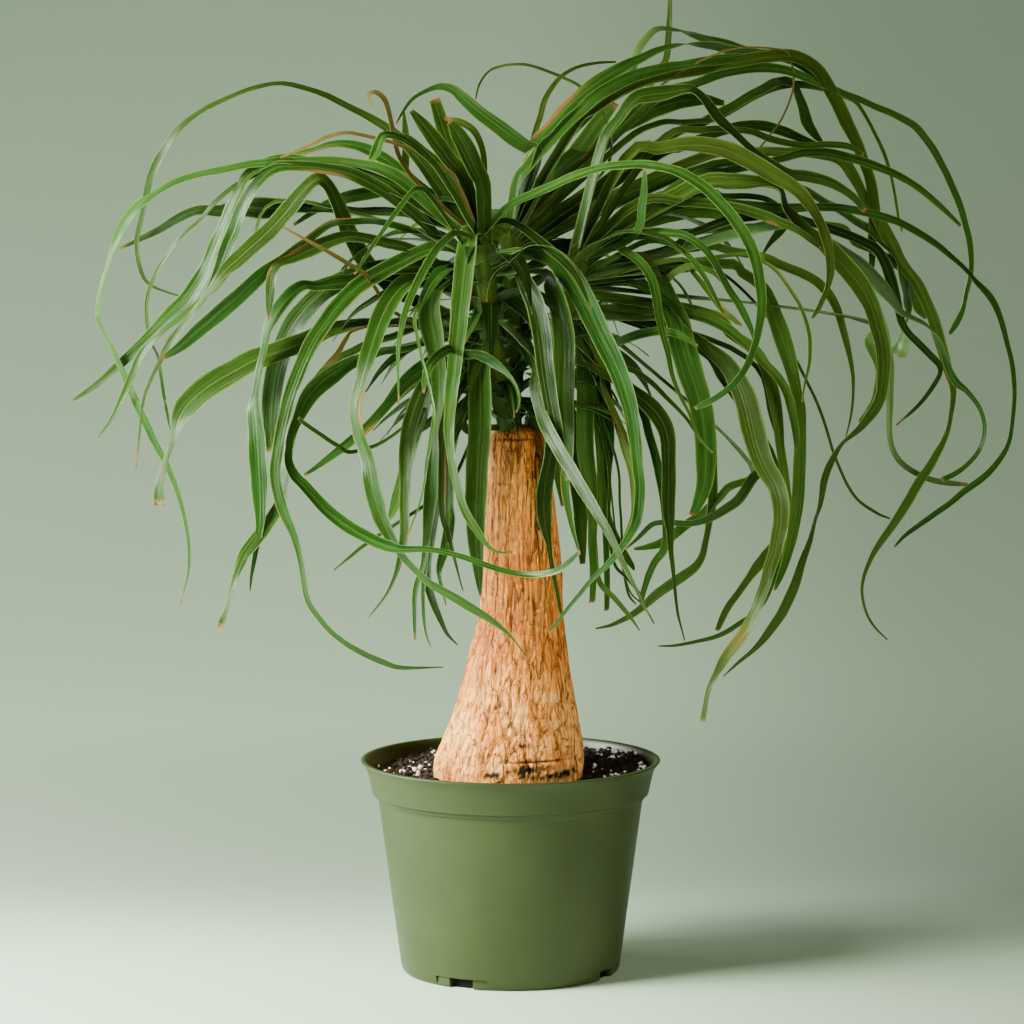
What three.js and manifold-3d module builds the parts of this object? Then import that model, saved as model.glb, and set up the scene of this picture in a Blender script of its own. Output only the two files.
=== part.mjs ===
// A ponytail palm with three leafy heads on one swollen trunk, in a round nursery pot.
// Millimetres, +Z up. The origin is the middle of the pot's flat base and the front is -Y.
import * as THREE from 'three';
import { mergeVertices } from 'three/addons/utils/BufferGeometryUtils.js';
import Module from 'manifold-3d';

const wasm = await Module();
wasm.setup();

// Pot, a thin moulded plastic one with a rolled lip
const lipRadius = 82.5;
const potHeight = 118;
const potWall = 1.6;
const bandTopRadius = 79.6;
const bandFootRadius = 76.2;
const bandFootHeight = 99;
const bodyTopRadius = 73;
const bodyFootRadius = 60.9;
const potSides = 40;
const notchAngles = [-27, 62, 153, 243];
const notchWidth = 31;
const notchHeight = 7;
const slotWidth = 14;

// Soil and trunk
const fitGap = 0.35;
const soilTop = 108.6;
const soilLumps = 1.1;
const plugRadius = 41.3;
const plugCentre = -1.5;
const plugFloor = 72;
const trunkTop = 303;
const trunkCentre = 6;
const trunkSides = 24;
const barkDepth = 0.75;

// The trunk's outline from the soil up: height, middle and half width
const trunkOutline = [
  [111, -1.5, 41.5], [117, -0.8, 41.2], [124, 0.1, 39.8], [137, 1.9, 36.2], [150, 3.1, 32.8],
  [164, 3.9, 29.7], [178, 4.4, 27], [192, 5.4, 24], [206, 6, 22.4], [220, 6.4, 21.9],
  [236, 6.1, 20.9], [252, 5.5, 19.7], [268, 5, 18.2], [282, 4.6, 16.8], [291, 4.3, 16.2],
  [296, 4.2, 15.4], [299.5, 4.1, 13.4], [302, 4, 8.5],
];

// Leafy stems: the points that each one's middle passes through
const stemHoleFloor = 289;
const stemRadius = 4.9;
const fanRadius = 7.6;
const stemSides = 9;
const stems = {
  front: [[-2.4, -5.6, 289.4], [-2.4, -5.6, 302], [-8, -10, 330], [-13, -14, 368], [-16, -16, 406]],
  right: [[12, 1, 289.4], [12, 1, 302], [20, 2, 328], [29, 3, 360], [37, 4, 396]],
  back: [[1.4, 8.6, 289.4], [1.4, 8.6, 302], [-1, 17, 330], [-2, 26, 368], [0, 32, 408]],
};

// Each head keeps to its own room round this upright line, walled by three slanting planes
const hub = { x: 6, y: 4 };
const frontWallSlope = 0.7;
const backWallSlope = 0.58;
const leftWallSlope = 0.18;
const headSpread = 130;
const wallGap = 9.5;
const trunkGap = 6;

// Where the plant is looked at from: the leaf routes below are given as they are seen from there
const eyeDistance = 2580;
const eyeHeight = 550;

// Blades
const bladeThickness = 1.5;
const tipThickness = 0.9;
const tipWidth = 1.5;
const ringsPerSpan = 1.28;
const weldTolerance = 0.06;

// Each leaf: height of its root on the stem, width, turn of the blade from root to tip in degrees,
// place in its head's room (0 at the near wall, 1 at the far wall) and the route seen, as x, z pairs.
// A cut leaf ends blunt.
const frontLeaves = [
  { root: 402, width: 5, turn: [50, 60], place: 0.9, route: [-48, 442, -80, 472, -120, 488, -158, 479, -190, 450, -203, 405, -198, 355, -185, 294] },
  { root: 400, width: 6.5, turn: [45, 50], place: 0.78, route: [-60, 434, -100, 446, -150, 444, -186, 434, -212, 410, -225, 366, -213, 333, -188, 280, -177, 240, -180, 206] },
  { root: 404, width: 7, turn: [30, 40], place: 0.95, route: [-75, 429, -125, 423, -163, 420, -190, 408, -212, 399] },
  { root: 352, width: 9, turn: [20, 55], place: 0.6, route: [-58, 370, -82, 400, -97, 435, -120, 421, -150, 393, -173, 362, -198, 323, -205, 279] },
  { root: 396, width: 9, turn: [25, 45], place: 0.7, route: [-50, 417, -90, 439, -127, 442, -148, 416, -175, 376, -205, 345, -239, 316] },
  { root: 402, width: 4, turn: [40, 50], place: 0.85, route: [-80, 440, -112, 443, -155, 428, -185, 399, -197, 381, -178, 372] },
  { root: 396, width: 8, turn: [35, 40], place: 0.5, route: [-70, 414, -105, 411, -133, 387, -160, 361, -190, 339, -199, 318] },
  { root: 344, width: 12, turn: [20, 30], place: 0.55, cut: true, route: [-50, 355, -100, 355, -140, 337, -174, 319, -183, 295, -194, 259] },
  { root: 394, width: 13, turn: [40, 30], place: 0.3, route: [-60, 392, -98, 368, -116, 325, -127, 282, -118, 244, -112, 207, -90, 182, -54, 169, -38, 168] },
  { root: 372, width: 9.5, turn: [30, 25], place: 0.45, route: [-60, 380, -105, 378, -130, 362, -138, 320, -138, 275, -139, 233, -143, 211] },
  { root: 370, width: 6, turn: [20, 20], place: 0.4, cut: true, route: [-70, 352, -105, 300, -131, 247, -146, 228, -156, 207, -160, 191] },
  { root: 380, width: 10, turn: [25, 20], place: 0.25, route: [-50, 383, -71, 359, -83, 308, -74, 262, -45, 221, -12, 197, 8, 172] },
  { root: 345, width: 8, turn: [10, 10], place: 0.5, route: [-35, 340, -65, 318, -90, 293, -114, 275] },
  { root: 362, width: 6.5, turn: [30, 35], place: 0.15, route: [-80, 360, -115, 330, -121, 285, -102, 256, -65, 233, -30, 231, 2, 220, 19, 220, 38, 231] },
  { root: 352, width: 7, turn: [25, 25], place: 0.5, route: [-42, 338, -57, 296, -64, 256, -61, 227, -80, 195] },
  { root: 404, width: 12, turn: [15, 20], place: 0.35, route: [-27, 385, -31, 345, -34, 295, -30, 265, -18, 246, -8, 235, 5, 237] },
  { root: 402, width: 5, turn: [20, 25], place: 0.2, route: [-34, 404, -49, 381, -61, 330, -61, 300] },
  { root: 382, width: 13.5, turn: [10, 15], place: 0.6, route: [-38, 378, -44, 350, -42, 318, -41, 296] },
  { root: 366, width: 9.5, turn: [20, 10], place: 0.65, route: [-38, 330, -43, 290, -46, 250, -47, 222] },
  { root: 352, width: 6, turn: [15, 10], place: 0.7, cut: true, route: [-40, 312, -49, 250, -53, 203, -53, 184] },
  { root: 344, width: 4.5, turn: [15, 10], place: 0.75, route: [-32, 312, -42, 260, -47, 214, -44, 181] },
  { root: 340, width: 5, turn: [10, 10], place: 0.6, route: [-36, 300, -46, 238, -44, 208, -29, 181] },
  { root: 404, width: 5, turn: [40, 45], place: 0.98, route: [-60, 440, -97, 455, -123, 449, -155, 430] },
  { root: 396, width: 14, turn: [35, 25], place: 0.85, route: [8, 399, 28, 391, 41, 372, 52, 348, 63, 320, 69, 290, 73, 262, 64, 240, 44, 215, 23, 188] },
  { root: 407, width: 5, turn: [50, 30], place: 0.95, route: [-3, 414, 14, 404, 30, 390, 44, 366] },
  { root: 392, width: 11, turn: [30, 15], place: 0.7, route: [8, 386, 16, 362, 20, 335, 25, 305, 31, 272] },
  { root: 380, width: 10, turn: [20, 10], place: 0.9, route: [12, 360, 21, 325, 23, 290, 18, 252, 21, 225, 27, 197] },
  { root: 372, width: 7, turn: [20, 20], place: 0.5, route: [6, 345, 12, 328, 22, 302, 38, 280, 50, 250, 60, 226, 76, 197] },
  { root: 390, width: 11, turn: [25, 10], place: 0.8, route: [18, 380, 27, 352, 30, 315, 33, 272, 38, 231] },
  { root: 374, width: 14.5, turn: [10, 15], place: 0.75, route: [-15, 340, -17, 310, -19, 262, -19, 235, -16, 209] },
  { root: 348, width: 6.5, turn: [30, 30], place: 0.6, route: [-27, 342, -12, 338, 1, 329, 5, 318, 2, 310] },
  { root: 406, width: 7, turn: [50, 30], place: 0.75, route: [15, 427, 42, 441, 70, 445, 97, 438, 117, 420, 131, 398, 137, 372, 133, 342, 118, 321, 100, 311] },
];

const rightLeaves = [
  { root: 370, width: 9, turn: [10, 20], place: 0.25, cut: true, route: [39, 334, 41, 295, 44, 260, 46, 230, 45, 206] },
  { root: 366, width: 8.5, turn: [20, 10], place: 0.6, route: [46, 334, 51, 300, 53, 270, 50, 250, 57, 235] },
  { root: 366, width: 4, turn: [10, 10], place: 0.1, route: [48, 338, 57, 312, 64, 294] },
  { root: 360, width: 6, turn: [20, 20], place: 0.35, route: [52, 318, 64, 285, 69, 260, 62, 237] },
  { root: 392, width: 8.5, turn: [45, 30], place: 0.55, route: [50, 446, 72, 481, 95, 487, 108, 474, 124, 458, 148, 444, 172, 437, 193, 422] },
  { root: 392, width: 5.5, turn: [45, 45], place: 0.75, route: [70, 442, 118, 463, 140, 458, 163, 454, 184, 450] },
  { root: 390, width: 7, turn: [50, 50], place: 0.9, route: [80, 430, 122, 441, 158, 450, 190, 448, 215, 438, 244, 412] },
  { root: 392, width: 13.5, turn: [35, 30], place: 0.4, route: [60, 440, 95, 457, 122, 455, 148, 439, 165, 421, 172, 396, 172, 376, 163, 360] },
  { root: 388, width: 6, turn: [45, 45], place: 0.82, route: [80, 418, 120, 428, 165, 422, 205, 415, 242, 393, 264, 367, 275, 325, 270, 288, 244, 264, 210, 235] },
  { root: 386, width: 7, turn: [45, 50], place: 0.65, route: [70, 397, 108, 407, 150, 415, 180, 408, 200, 398, 213, 378] },
  { root: 394, width: 12, turn: [40, 20], place: 0.5, route: [90, 430, 130, 437, 149, 425, 168, 402, 192, 374, 202, 340, 200, 308, 182, 291, 170, 262, 161, 230, 151, 203, 138, 181, 118, 164] },
  { root: 384, width: 5, turn: [40, 20], place: 0.7, route: [120, 410, 180, 398, 220, 375, 238, 345, 243, 327, 256, 314, 260, 298, 252, 281, 232, 272] },
  { root: 372, width: 10.5, turn: [35, 20], place: 0.45, route: [60, 367, 90, 367, 115, 358, 133, 344, 147, 325, 155, 305, 156, 283] },
  { root: 366, width: 9.5, turn: [30, 20], place: 0.2, route: [83, 363, 105, 349, 122, 330, 131, 300, 147, 265, 149, 240, 139, 204, 119, 173, 110, 157, 105, 138] },
  { root: 380, width: 14, turn: [25, 20], place: 0.3, route: [70, 392, 86, 372, 95, 345, 105, 312, 107, 284, 104, 266, 95, 251] },
  { root: 376, width: 7, turn: [20, 20], place: 0.5, route: [84, 362, 101, 325, 110, 285, 109, 250, 103, 227, 80, 207, 60, 195, 47, 190] },
  { root: 352, width: 9.5, turn: [20, 10], place: 0.15, route: [52, 330, 70, 320, 84, 300, 86, 270, 86, 245, 89, 212, 96, 183] },
  { root: 370, width: 7, turn: [30, 30], place: 0.35, route: [100, 345, 132, 303, 139, 281, 128, 264, 105, 251, 88, 248, 72, 242, 62, 233] },
  { root: 350, width: 5, turn: [15, 15], place: 0.4, route: [74, 300, 85, 242, 77, 222, 72, 203] },
  { root: 370, width: 6.5, turn: [30, 30], place: 0.6, cut: true, route: [115, 335, 146, 275, 145, 237, 133, 222, 121, 204, 114, 190] },
  { root: 372, width: 3.5, turn: [30, 30], place: 0.72, route: [125, 342, 150, 285, 148, 225, 137, 203, 122, 191, 103, 184, 83, 181] },
  { root: 384, width: 5, turn: [40, 25], place: 0.05, route: [48, 398, 60, 401, 73, 386, 80, 362, 86, 337, 96, 310, 111, 287] },
  { root: 380, width: 5, turn: [45, 30], place: 0.15, route: [60, 393, 85, 402, 100, 400, 112, 388, 126, 369, 133, 346] },
  { root: 390, width: 11, turn: [45, 25], place: 0.25, route: [60, 406, 85, 408, 105, 398, 120, 384, 131, 365, 132, 345] },
  { root: 392, width: 5.5, turn: [15, 10], place: 0.2, route: [58, 406, 69, 424, 72, 442] },
  { root: 384, width: 6.5, turn: [45, 35], place: 0.6, route: [80, 402, 120, 402, 150, 390, 171, 377, 181, 357, 187, 325, 189, 305, 183, 293] },
  { root: 382, width: 4.5, turn: [40, 25], place: 0.35, route: [90, 399, 130, 396, 150, 381, 161, 360, 164, 338, 160, 313] },
  { root: 346, width: 4, turn: [30, 30], place: 0.3, route: [58, 335, 77, 326, 92, 311, 104, 292] },
  { root: 378, width: 10.5, turn: [35, 15], place: 0.55, route: [90, 394, 125, 389, 146, 360, 155, 325, 158, 290, 158, 260, 150, 226, 145, 212] },
  { root: 374, width: 9.5, turn: [30, 15], place: 0.5, route: [90, 374, 126, 348, 139, 315, 147, 285, 152, 253] },
  { root: 362, width: 5, turn: [10, 10], place: 0.5, cut: true, route: [45, 322, 49, 270, 51, 230, 53, 202] },
];

const backLeaves = [
  { root: 404, width: 10, turn: [30, 40], place: 0.12, route: [12, 452, 38, 485, 60, 499, 85, 508, 116, 504] },
  { root: 402, width: 9.5, turn: [40, 45], place: 0.05, route: [10, 446, 40, 475, 75, 494, 100, 500, 125, 502, 150, 498, 168, 488] },
  { root: 400, width: 8, turn: [30, 45], place: 0.35, route: [25, 455, 52, 484, 66, 503, 76, 516, 90, 518, 115, 510, 140, 503, 160, 500] },
  { root: 402, width: 11.5, turn: [40, 20], place: 0.2, route: [40, 466, 75, 490, 110, 499, 145, 502, 163, 498, 177, 480, 188, 455, 196, 428, 197, 395, 202, 355, 206, 320, 209, 295, 222, 277, 250, 268] },
  { root: 398, width: 6, turn: [40, 30], place: 0.45, route: [60, 468, 110, 492, 150, 496, 176, 487, 205, 475, 223, 462, 238, 437, 248, 411, 251, 388, 246, 366, 240, 344] },
  { root: 406, width: 6, turn: [25, 10], place: 0.25, route: [30, 445, 58, 466, 76, 488, 84, 508, 86, 540] },
  { root: 404, width: 4.5, turn: [20, 50], place: 0.4, route: [11, 455, 18, 480, 30, 492, 48, 499, 66, 500] },
  { root: 398, width: 7.5, turn: [45, 45], place: 0.6, route: [60, 455, 100, 466, 125, 479, 150, 489, 183, 481, 196, 466, 206, 443, 212, 412] },
  { root: 396, width: 6.5, turn: [45, 20], place: 0.3, route: [60, 450, 110, 471, 138, 487, 151, 487, 158, 474, 168, 455] },
  { root: 394, width: 7, turn: [45, 45], place: 0.5, route: [60, 440, 105, 460, 128, 466, 150, 461, 166, 456] },
  { root: 392, width: 6.5, turn: [40, 30], place: 0.3, route: [90, 444, 160, 430, 200, 405, 212, 370, 222, 347, 236, 335, 228, 317, 210, 302] },
  { root: 396, width: 9.5, turn: [40, 15], place: 0.15, route: [90, 446, 150, 447, 190, 438, 208, 415, 220, 388, 232, 358, 241, 325, 238, 298, 222, 270, 201, 236, 193, 212, 197, 195, 207, 184] },
  { root: 404, width: 8.5, turn: [30, 40], place: 0.15, route: [12, 445, -5, 458, -22, 476, -34, 486, -50, 482, -61, 470] },
  { root: 398, width: 9, turn: [10, 10], place: 0.1, cut: true, route: [-20, 422, -29, 440, -35, 456, -41, 480] },
  { root: 404, width: 4, turn: [20, 50], place: 0.05, route: [-12, 440, -15, 456, -25, 467, -37, 470] },
];

// The other leaves of a head stand round its stem by the golden angle and bend over with their weight
const goldenTurn = 0.618034;
const fillRules = {
  front: { count: 12, from: 184, to: 262, low: 335, high: 402, shortest: 120, seed: 71 },
  right: { count: 9, from: -24, to: 24, low: 335, high: 392, shortest: 130, seed: 23 },
  back: { count: 26, from: 36, to: 166, low: 332, high: 404, shortest: 180, seed: 47 },
};
const fillSteps = 6;
const fillLengthRange = 95;

function seededDraws(seed) {
  let state = seed;
  return () => {
    state = (state * 16807) % 2147483647;
    return state / 2147483647;
  };
}

// Piecewise straight lookup in rows that start with a rising height
function lookUp(rows, height, column) {
  let i = 1;
  while (i < rows.length - 1 && rows[i][0] < height) i += 1;
  const [below, above] = [rows[i - 1], rows[i]];
  const share = THREE.MathUtils.clamp((height - below[0]) / (above[0] - below[0]), 0, 1);
  return below[column] + share * (above[column] - below[column]);
}

// The point on a stem's middle line at a height
function stemPoint(stem, height) {
  const rows = stem.map(([x, y, z]) => [z, x, y]);
  return new THREE.Vector3(lookUp(rows, height, 1), lookUp(rows, height, 2), height);
}

// How near to the viewer and how far back a head may reach at one x
function roomAt(head, x) {
  const right = x - hub.x;
  const frontWall = right > 0 ? hub.y - frontWallSlope * right : hub.y - leftWallSlope * right;
  const backWall = right > 0 ? hub.y + backWallSlope * right : hub.y - leftWallSlope * right;
  if (head === 'front') return [frontWall - headSpread, frontWall - wallGap];
  if (head === 'back') return [backWall + wallGap, backWall + headSpread];
  const middle = (frontWall + backWall) / 2;
  return [Math.min(frontWall + wallGap, middle), Math.max(backWall - wallGap, middle)];
}

// Keeps a depth inside the head's room and clear of the trunk
function settledDepth(head, x, z, depth) {
  const [near, far] = roomAt(head, x);
  let settled = THREE.MathUtils.clamp(depth, near, far);
  if (z < trunkTop + trunkGap) {
    const reach = lookUp(trunkOutline, z, 2) + trunkGap;
    const side = x - trunkCentre;
    const bulge = reach > Math.abs(side) ? Math.sqrt(reach * reach - side * side) : 0;
    if (head === 'front') settled = Math.min(settled, -bulge);
    if (head === 'back') settled = Math.max(settled, bulge);
  }
  return settled;
}

// A leaf seen from the eye: each seen point is pushed along its line of sight to the leaf's depth
function seenRoute(head, stem, leaf) {
  const root = stemPoint(stem, leaf.root);
  const points = [root];
  const count = leaf.route.length / 2;
  for (let i = 0; i < count; i += 1) {
    const [x, z] = [leaf.route[2 * i], leaf.route[2 * i + 1]];
    const [near, far] = roomAt(head, x);
    const along = (i + 1) / count;
    const ease = 1 - (1 - along) ** 2;
    const wish = root.y + ease * (near + leaf.place * (far - near) - root.y);
    const depth = settledDepth(head, x, z, wish);
    const stretch = (eyeDistance + depth) / eyeDistance;
    points.push(new THREE.Vector3(x * stretch, depth, eyeHeight + (z - eyeHeight) * stretch));
  }
  return points;
}

// A leaf by rule: it leaves the stem on a slant and turns steadily down
function bentRoute(head, stem, rule, index, draw) {
  const share = index / rule.count;
  const turn = (index * goldenTurn + 0.3) % 1;
  const heading = THREE.MathUtils.degToRad(rule.from + (rule.to - rule.from) * turn);
  const rise = THREE.MathUtils.degToRad(22 + 46 * share + 10 * draw());
  const drop = THREE.MathUtils.degToRad(62 + 24 * draw());
  const length = rule.shortest + fillLengthRange * draw();
  const spot = stemPoint(stem, rule.low + (rule.high - rule.low) * share);
  const points = [spot.clone()];
  for (let i = 0; i < fillSteps; i += 1) {
    const slope = rise - (rise + drop) * ((i + 0.5) / fillSteps) ** 0.85;
    const step = length / fillSteps;
    spot.x += step * Math.cos(slope) * Math.cos(heading);
    spot.y += step * Math.cos(slope) * Math.sin(heading);
    spot.z += step * Math.sin(slope);
    const depth = settledDepth(head, spot.x, spot.z, spot.y);
    points.push(new THREE.Vector3(spot.x, depth, Math.max(spot.z, 142)));
  }
  return { points, heading };
}

// Makes one closed body of rings of points, with a fan over each end
function ringSolid(rings) {
  const sides = rings[0].length;
  const positions = [];
  for (const ring of rings) for (const p of ring) positions.push(p.x, p.y, p.z);
  const faces = [];
  for (let r = 0; r < rings.length - 1; r += 1) {
    for (let s = 0; s < sides; s += 1) {
      const here = r * sides + s;
      const next = r * sides + ((s + 1) % sides);
      faces.push(here, next, here + sides, next, next + sides, here + sides);
    }
  }
  const last = (rings.length - 1) * sides;
  for (let s = 1; s < sides - 1; s += 1) {
    faces.push(0, s + 1, s, last, last + s, last + s + 1);
  }
  const geometry = new THREE.BufferGeometry();
  geometry.setAttribute('position', new THREE.Float32BufferAttribute(positions, 3));
  geometry.setIndex(faces);
  return asSolid(geometry);
}

function asSolid(geometry) {
  const bare = geometry.clone();
  bare.deleteAttribute('normal');
  bare.deleteAttribute('uv');
  const merged = mergeVertices(bare, 1e-4);
  const vertProperties = new Float32Array(merged.attributes.position.array);
  const triVerts = new Uint32Array(merged.index.array);
  const solid = new wasm.Manifold(new wasm.Mesh({ numProp: 3, vertProperties, triVerts }));
  if (solid.volume() > 0) return solid;
  for (let i = 0; i < triVerts.length; i += 3) {
    [triVerts[i], triVerts[i + 1]] = [triVerts[i + 1], triVerts[i]];
  }
  return new wasm.Manifold(new wasm.Mesh({ numProp: 3, vertProperties, triVerts }));
}

function asMesh(name, solid, colour, roughness) {
  const { vertProperties, triVerts } = solid.getMesh();
  const geometry = new THREE.BufferGeometry();
  geometry.setAttribute('position', new THREE.BufferAttribute(vertProperties, 3));
  geometry.setIndex(new THREE.BufferAttribute(triVerts, 1));
  geometry.computeVertexNormals();
  const material = new THREE.MeshStandardMaterial({ color: colour, roughness, metalness: 0 });
  const mesh = new THREE.Mesh(geometry, material);
  mesh.name = name;
  return mesh;
}

// Share of the full width along a blade: a narrow foot, then long parallel edges and a drawn-out tip
function widthShare(along, cut) {
  const foot = Math.min(1, 0.7 + 2 * along);
  const tip = cut ? 1 - 0.35 * along ** 3 : (1 - along ** 3) ** 0.9;
  return foot * tip;
}

// A blade with a flat face and a keel under it. The face starts square to the sight line and is then
// turned about the blade's own run; a blade made by rule is turned from its upright plane instead.
function bladeSolid(points, width, turn, cut, heading) {
  const curve = new THREE.CatmullRomCurve3(points, false, 'catmullrom', 0.5);
  const count = Math.ceil((points.length - 1) * (heading === undefined ? ringsPerSpan : 1)) + 1;
  const lean = Math.sign(points[Math.min(3, points.length - 1)].x - points[0].x) || 1;
  const rings = [];
  for (let i = 0; i < count; i += 1) {
    const along = i / (count - 1);
    const spot = curve.getPoint(along);
    const run = curve.getTangent(along);
    const degrees = turn[0] + (turn[1] - turn[0]) * along;
    const across = new THREE.Vector3();
    if (heading === undefined) {
      across.set(-run.z, 0, run.x).normalize();
      across.applyAxisAngle(run, THREE.MathUtils.degToRad(-lean * degrees));
    } else {
      across.set(-Math.sin(heading), Math.cos(heading), 0);
      across.applyAxisAngle(run, THREE.MathUtils.degToRad(degrees));
      across.addScaledVector(run, -across.dot(run)).normalize();
    }
    const down = new THREE.Vector3().crossVectors(run, across).normalize();
    if (heading === undefined ? down.y < 0 : down.z > 0) down.negate();
    const half = Math.max(width * widthShare(along, cut), tipWidth) / 2;
    const thick = bladeThickness + (tipThickness - bladeThickness) * along;
    rings.push([
      spot.clone().addScaledVector(across, half),
      spot.clone().addScaledVector(across, -half),
      spot.clone().addScaledVector(down, thick),
    ]);
  }
  return ringSolid(rings);
}

// The round core of leaf bases: slim where it stands in the trunk and swelling up to the fan
function stemSolid(stem) {
  const curve = new THREE.CatmullRomCurve3(stem.map((p) => new THREE.Vector3(...p)), false, 'catmullrom', 0.3);
  const heights = [0, 0.25, 0.4, 0.55, 0.7, 0.85, 0.97, 1];
  const rings = heights.map((along) => {
    const spot = curve.getPoint(along);
    const swell = THREE.MathUtils.smoothstep(along, 0.25, 0.8);
    const radius = (stemRadius + (fanRadius - stemRadius) * swell) * (along === 1 ? 0.55 : 1);
    return Array.from({ length: stemSides }, (_, s) => {
      const angle = (2 * Math.PI * s) / stemSides;
      return new THREE.Vector3(spot.x + radius * Math.cos(angle), spot.y + radius * Math.sin(angle), spot.z);
    });
  });
  return ringSolid(rings);
}

function leafyHead(head, leaves) {
  const stem = stems[head];
  const bodies = [stemSolid(stem)];
  for (const leaf of leaves) {
    bodies.push(bladeSolid(seenRoute(head, stem, leaf), leaf.width, leaf.turn, leaf.cut));
  }
  const rule = fillRules[head];
  const draw = seededDraws(rule.seed);
  for (let i = 0; i < rule.count; i += 1) {
    const { points, heading } = bentRoute(head, stem, rule, i, draw);
    const width = 9 + 4 * draw();
    const turn = [0, 50 * (draw() - 0.5)];
    bodies.push(bladeSolid(points, width, turn, false, heading));
  }
  // Crossing blades can shut in a small void, which comes apart as a shell of its own: only the outside is kept
  const shells = wasm.Manifold.union(bodies).simplify(weldTolerance).decompose();
  return shells.reduce((largest, shell) => (shell.volume() > largest.volume() ? shell : largest));
}

function latheSolid(profile, sides) {
  const outline = profile.map(([r, z]) => new THREE.Vector2(r, z));
  const geometry = new THREE.LatheGeometry(outline, sides);
  geometry.rotateX(Math.PI / 2);
  return asSolid(geometry);
}

function boxSolid(size, place, turnDegrees) {
  const geometry = new THREE.BoxGeometry(...size);
  geometry.translate(...place);
  geometry.rotateZ(THREE.MathUtils.degToRad(turnDegrees));
  return asSolid(geometry);
}

// The inside of the pot from the floor up: height and radius
const potInside = [
  [2.2, 55.6], [8, bodyFootRadius - potWall - 1], [bandFootHeight - 1.6, bodyTopRadius - potWall],
  [bandFootHeight + 1, bandFootRadius - potWall], [potHeight - 2.4, bandTopRadius - potWall],
];

// Pot: thin wall, a band below the lip, and four notches in its foot with a drain slot in each
function potSolid() {
  const top = potHeight;
  const wallDown = potInside.map(([z, radius]) => [radius, z]).reverse();
  const profile = [
    [0, 0], [56.8, 0], [59.9, 1.6], [bodyFootRadius, 6],
    [bodyTopRadius, bandFootHeight - 2], [bandFootRadius - 0.3, bandFootHeight],
    [bandFootRadius, bandFootHeight + 1], [bandTopRadius, top - 3], [lipRadius - 0.3, top - 2.2],
    [lipRadius, top - 0.7], [lipRadius - 0.7, top], [bandTopRadius - potWall + 1.2, top],
    ...wallDown, [0, 2.2],
  ];
  let pot = latheSolid(profile, potSides);
  for (const angle of notchAngles) {
    const recess = boxSolid([notchWidth, 6, notchHeight * 2], [0, -bodyFootRadius - 1.7, 0], angle);
    const slot = boxSolid([slotWidth, 12, 3.6], [0, -bodyFootRadius, 4.6], angle);
    pot = pot.subtract(recess).subtract(slot);
  }
  return pot;
}

// The ground's small rises, from three crossing waves
function lump(x, y) {
  return soilLumps * (Math.sin(x / 9 + 1) * Math.cos(y / 7) + 0.5 * Math.sin((x + y) / 5.3 + 2));
}

function soilSolid() {
  const flatShare = Math.cos(Math.PI / potSides);
  const edge = (z) => lookUp(potInside, z, 1) * flatShare - fitGap;
  const sides = 36;
  const rows = [
    [12, 2.6, 0], [edge(2.6), 2.6, 0], [edge(8), 8, 0], [edge(97), 97, 0],
    [edge(100), soilTop - 2.6, 0], [71, soilTop, 1], [60, soilTop, 1], [50, soilTop, 1],
    [38, soilTop - 0.5, 0.3], [12, soilTop - 0.5, 0],
  ];
  const rings = rows.map(([radius, z, bumpy]) => Array.from({ length: sides }, (_, s) => {
    const angle = (2 * Math.PI * s) / sides;
    const [x, y] = [radius * Math.cos(angle), radius * Math.sin(angle)];
    return new THREE.Vector3(x, y, z + bumpy * lump(x, y));
  }));
  const holeRadius = plugRadius + fitGap;
  const hole = new THREE.CylinderGeometry(holeRadius, holeRadius, 60, 48);
  hole.rotateX(Math.PI / 2);
  hole.translate(plugCentre, 0, plugFloor - fitGap + 30);
  return ringSolid(rings).subtract(asSolid(hole));
}

// Bark: shallow upright furrows that wander a little as they climb
function barkWave(angle, z) {
  const wander = 0.5 * Math.sin(z / 23);
  return barkDepth * (0.6 * Math.sin(9 * angle + wander * 3) + 0.4 * Math.sin(5 * angle - z / 31));
}

function trunkSolid() {
  const rings = [];
  const circle = (centre, radius, z, rough) => Array.from({ length: trunkSides }, (_, s) => {
    const angle = (2 * Math.PI * s) / trunkSides;
    const r = radius + rough * barkWave(angle, z);
    return new THREE.Vector3(centre + r * Math.cos(angle), r * Math.sin(angle), z);
  });
  rings.push(circle(plugCentre, plugRadius - 6, plugFloor, 0));
  rings.push(circle(plugCentre, plugRadius, plugFloor + 6, 0));
  rings.push(circle(plugCentre, plugRadius, 109.5, 0));
  trunkOutline.forEach(([z, centre, half], i) => {
    const rough = i > 0 && z < 300 ? 1 : 0;
    rings.push(circle(centre, half, z, rough));
  });
  rings.push(circle(4, 3, trunkTop, 0));
  let trunk = ringSolid(rings);
  for (const stem of Object.values(stems)) {
    const socket = new THREE.CylinderGeometry(stemRadius + fitGap, stemRadius + fitGap, 30, 20);
    socket.rotateX(Math.PI / 2);
    socket.translate(stem[0][0], stem[0][1], stemHoleFloor + 15);
    trunk = trunk.subtract(asSolid(socket));
  }
  return trunk;
}

const plant = new THREE.Group();
plant.add(asMesh('pot', potSolid(), 0x66734a, 0.5));
plant.add(asMesh('soil', soilSolid(), 0x33251a, 0.95));
plant.add(asMesh('trunk', trunkSolid(), 0xb98252, 0.85));
plant.add(asMesh('leafy_head_front', leafyHead('front', frontLeaves), 0x4a7530, 0.45));
plant.add(asMesh('leafy_head_right', leafyHead('right', rightLeaves), 0x3f6828, 0.45));
plant.add(asMesh('leafy_head_back', leafyHead('back', backLeaves), 0x355c24, 0.45));

export default plant;
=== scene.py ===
# A ponytail palm with three leafy heads on one swollen trunk, in a moulded nursery pot.
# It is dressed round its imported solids. Sizes are written in millimetres and meshes are made in metres.
import math

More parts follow.
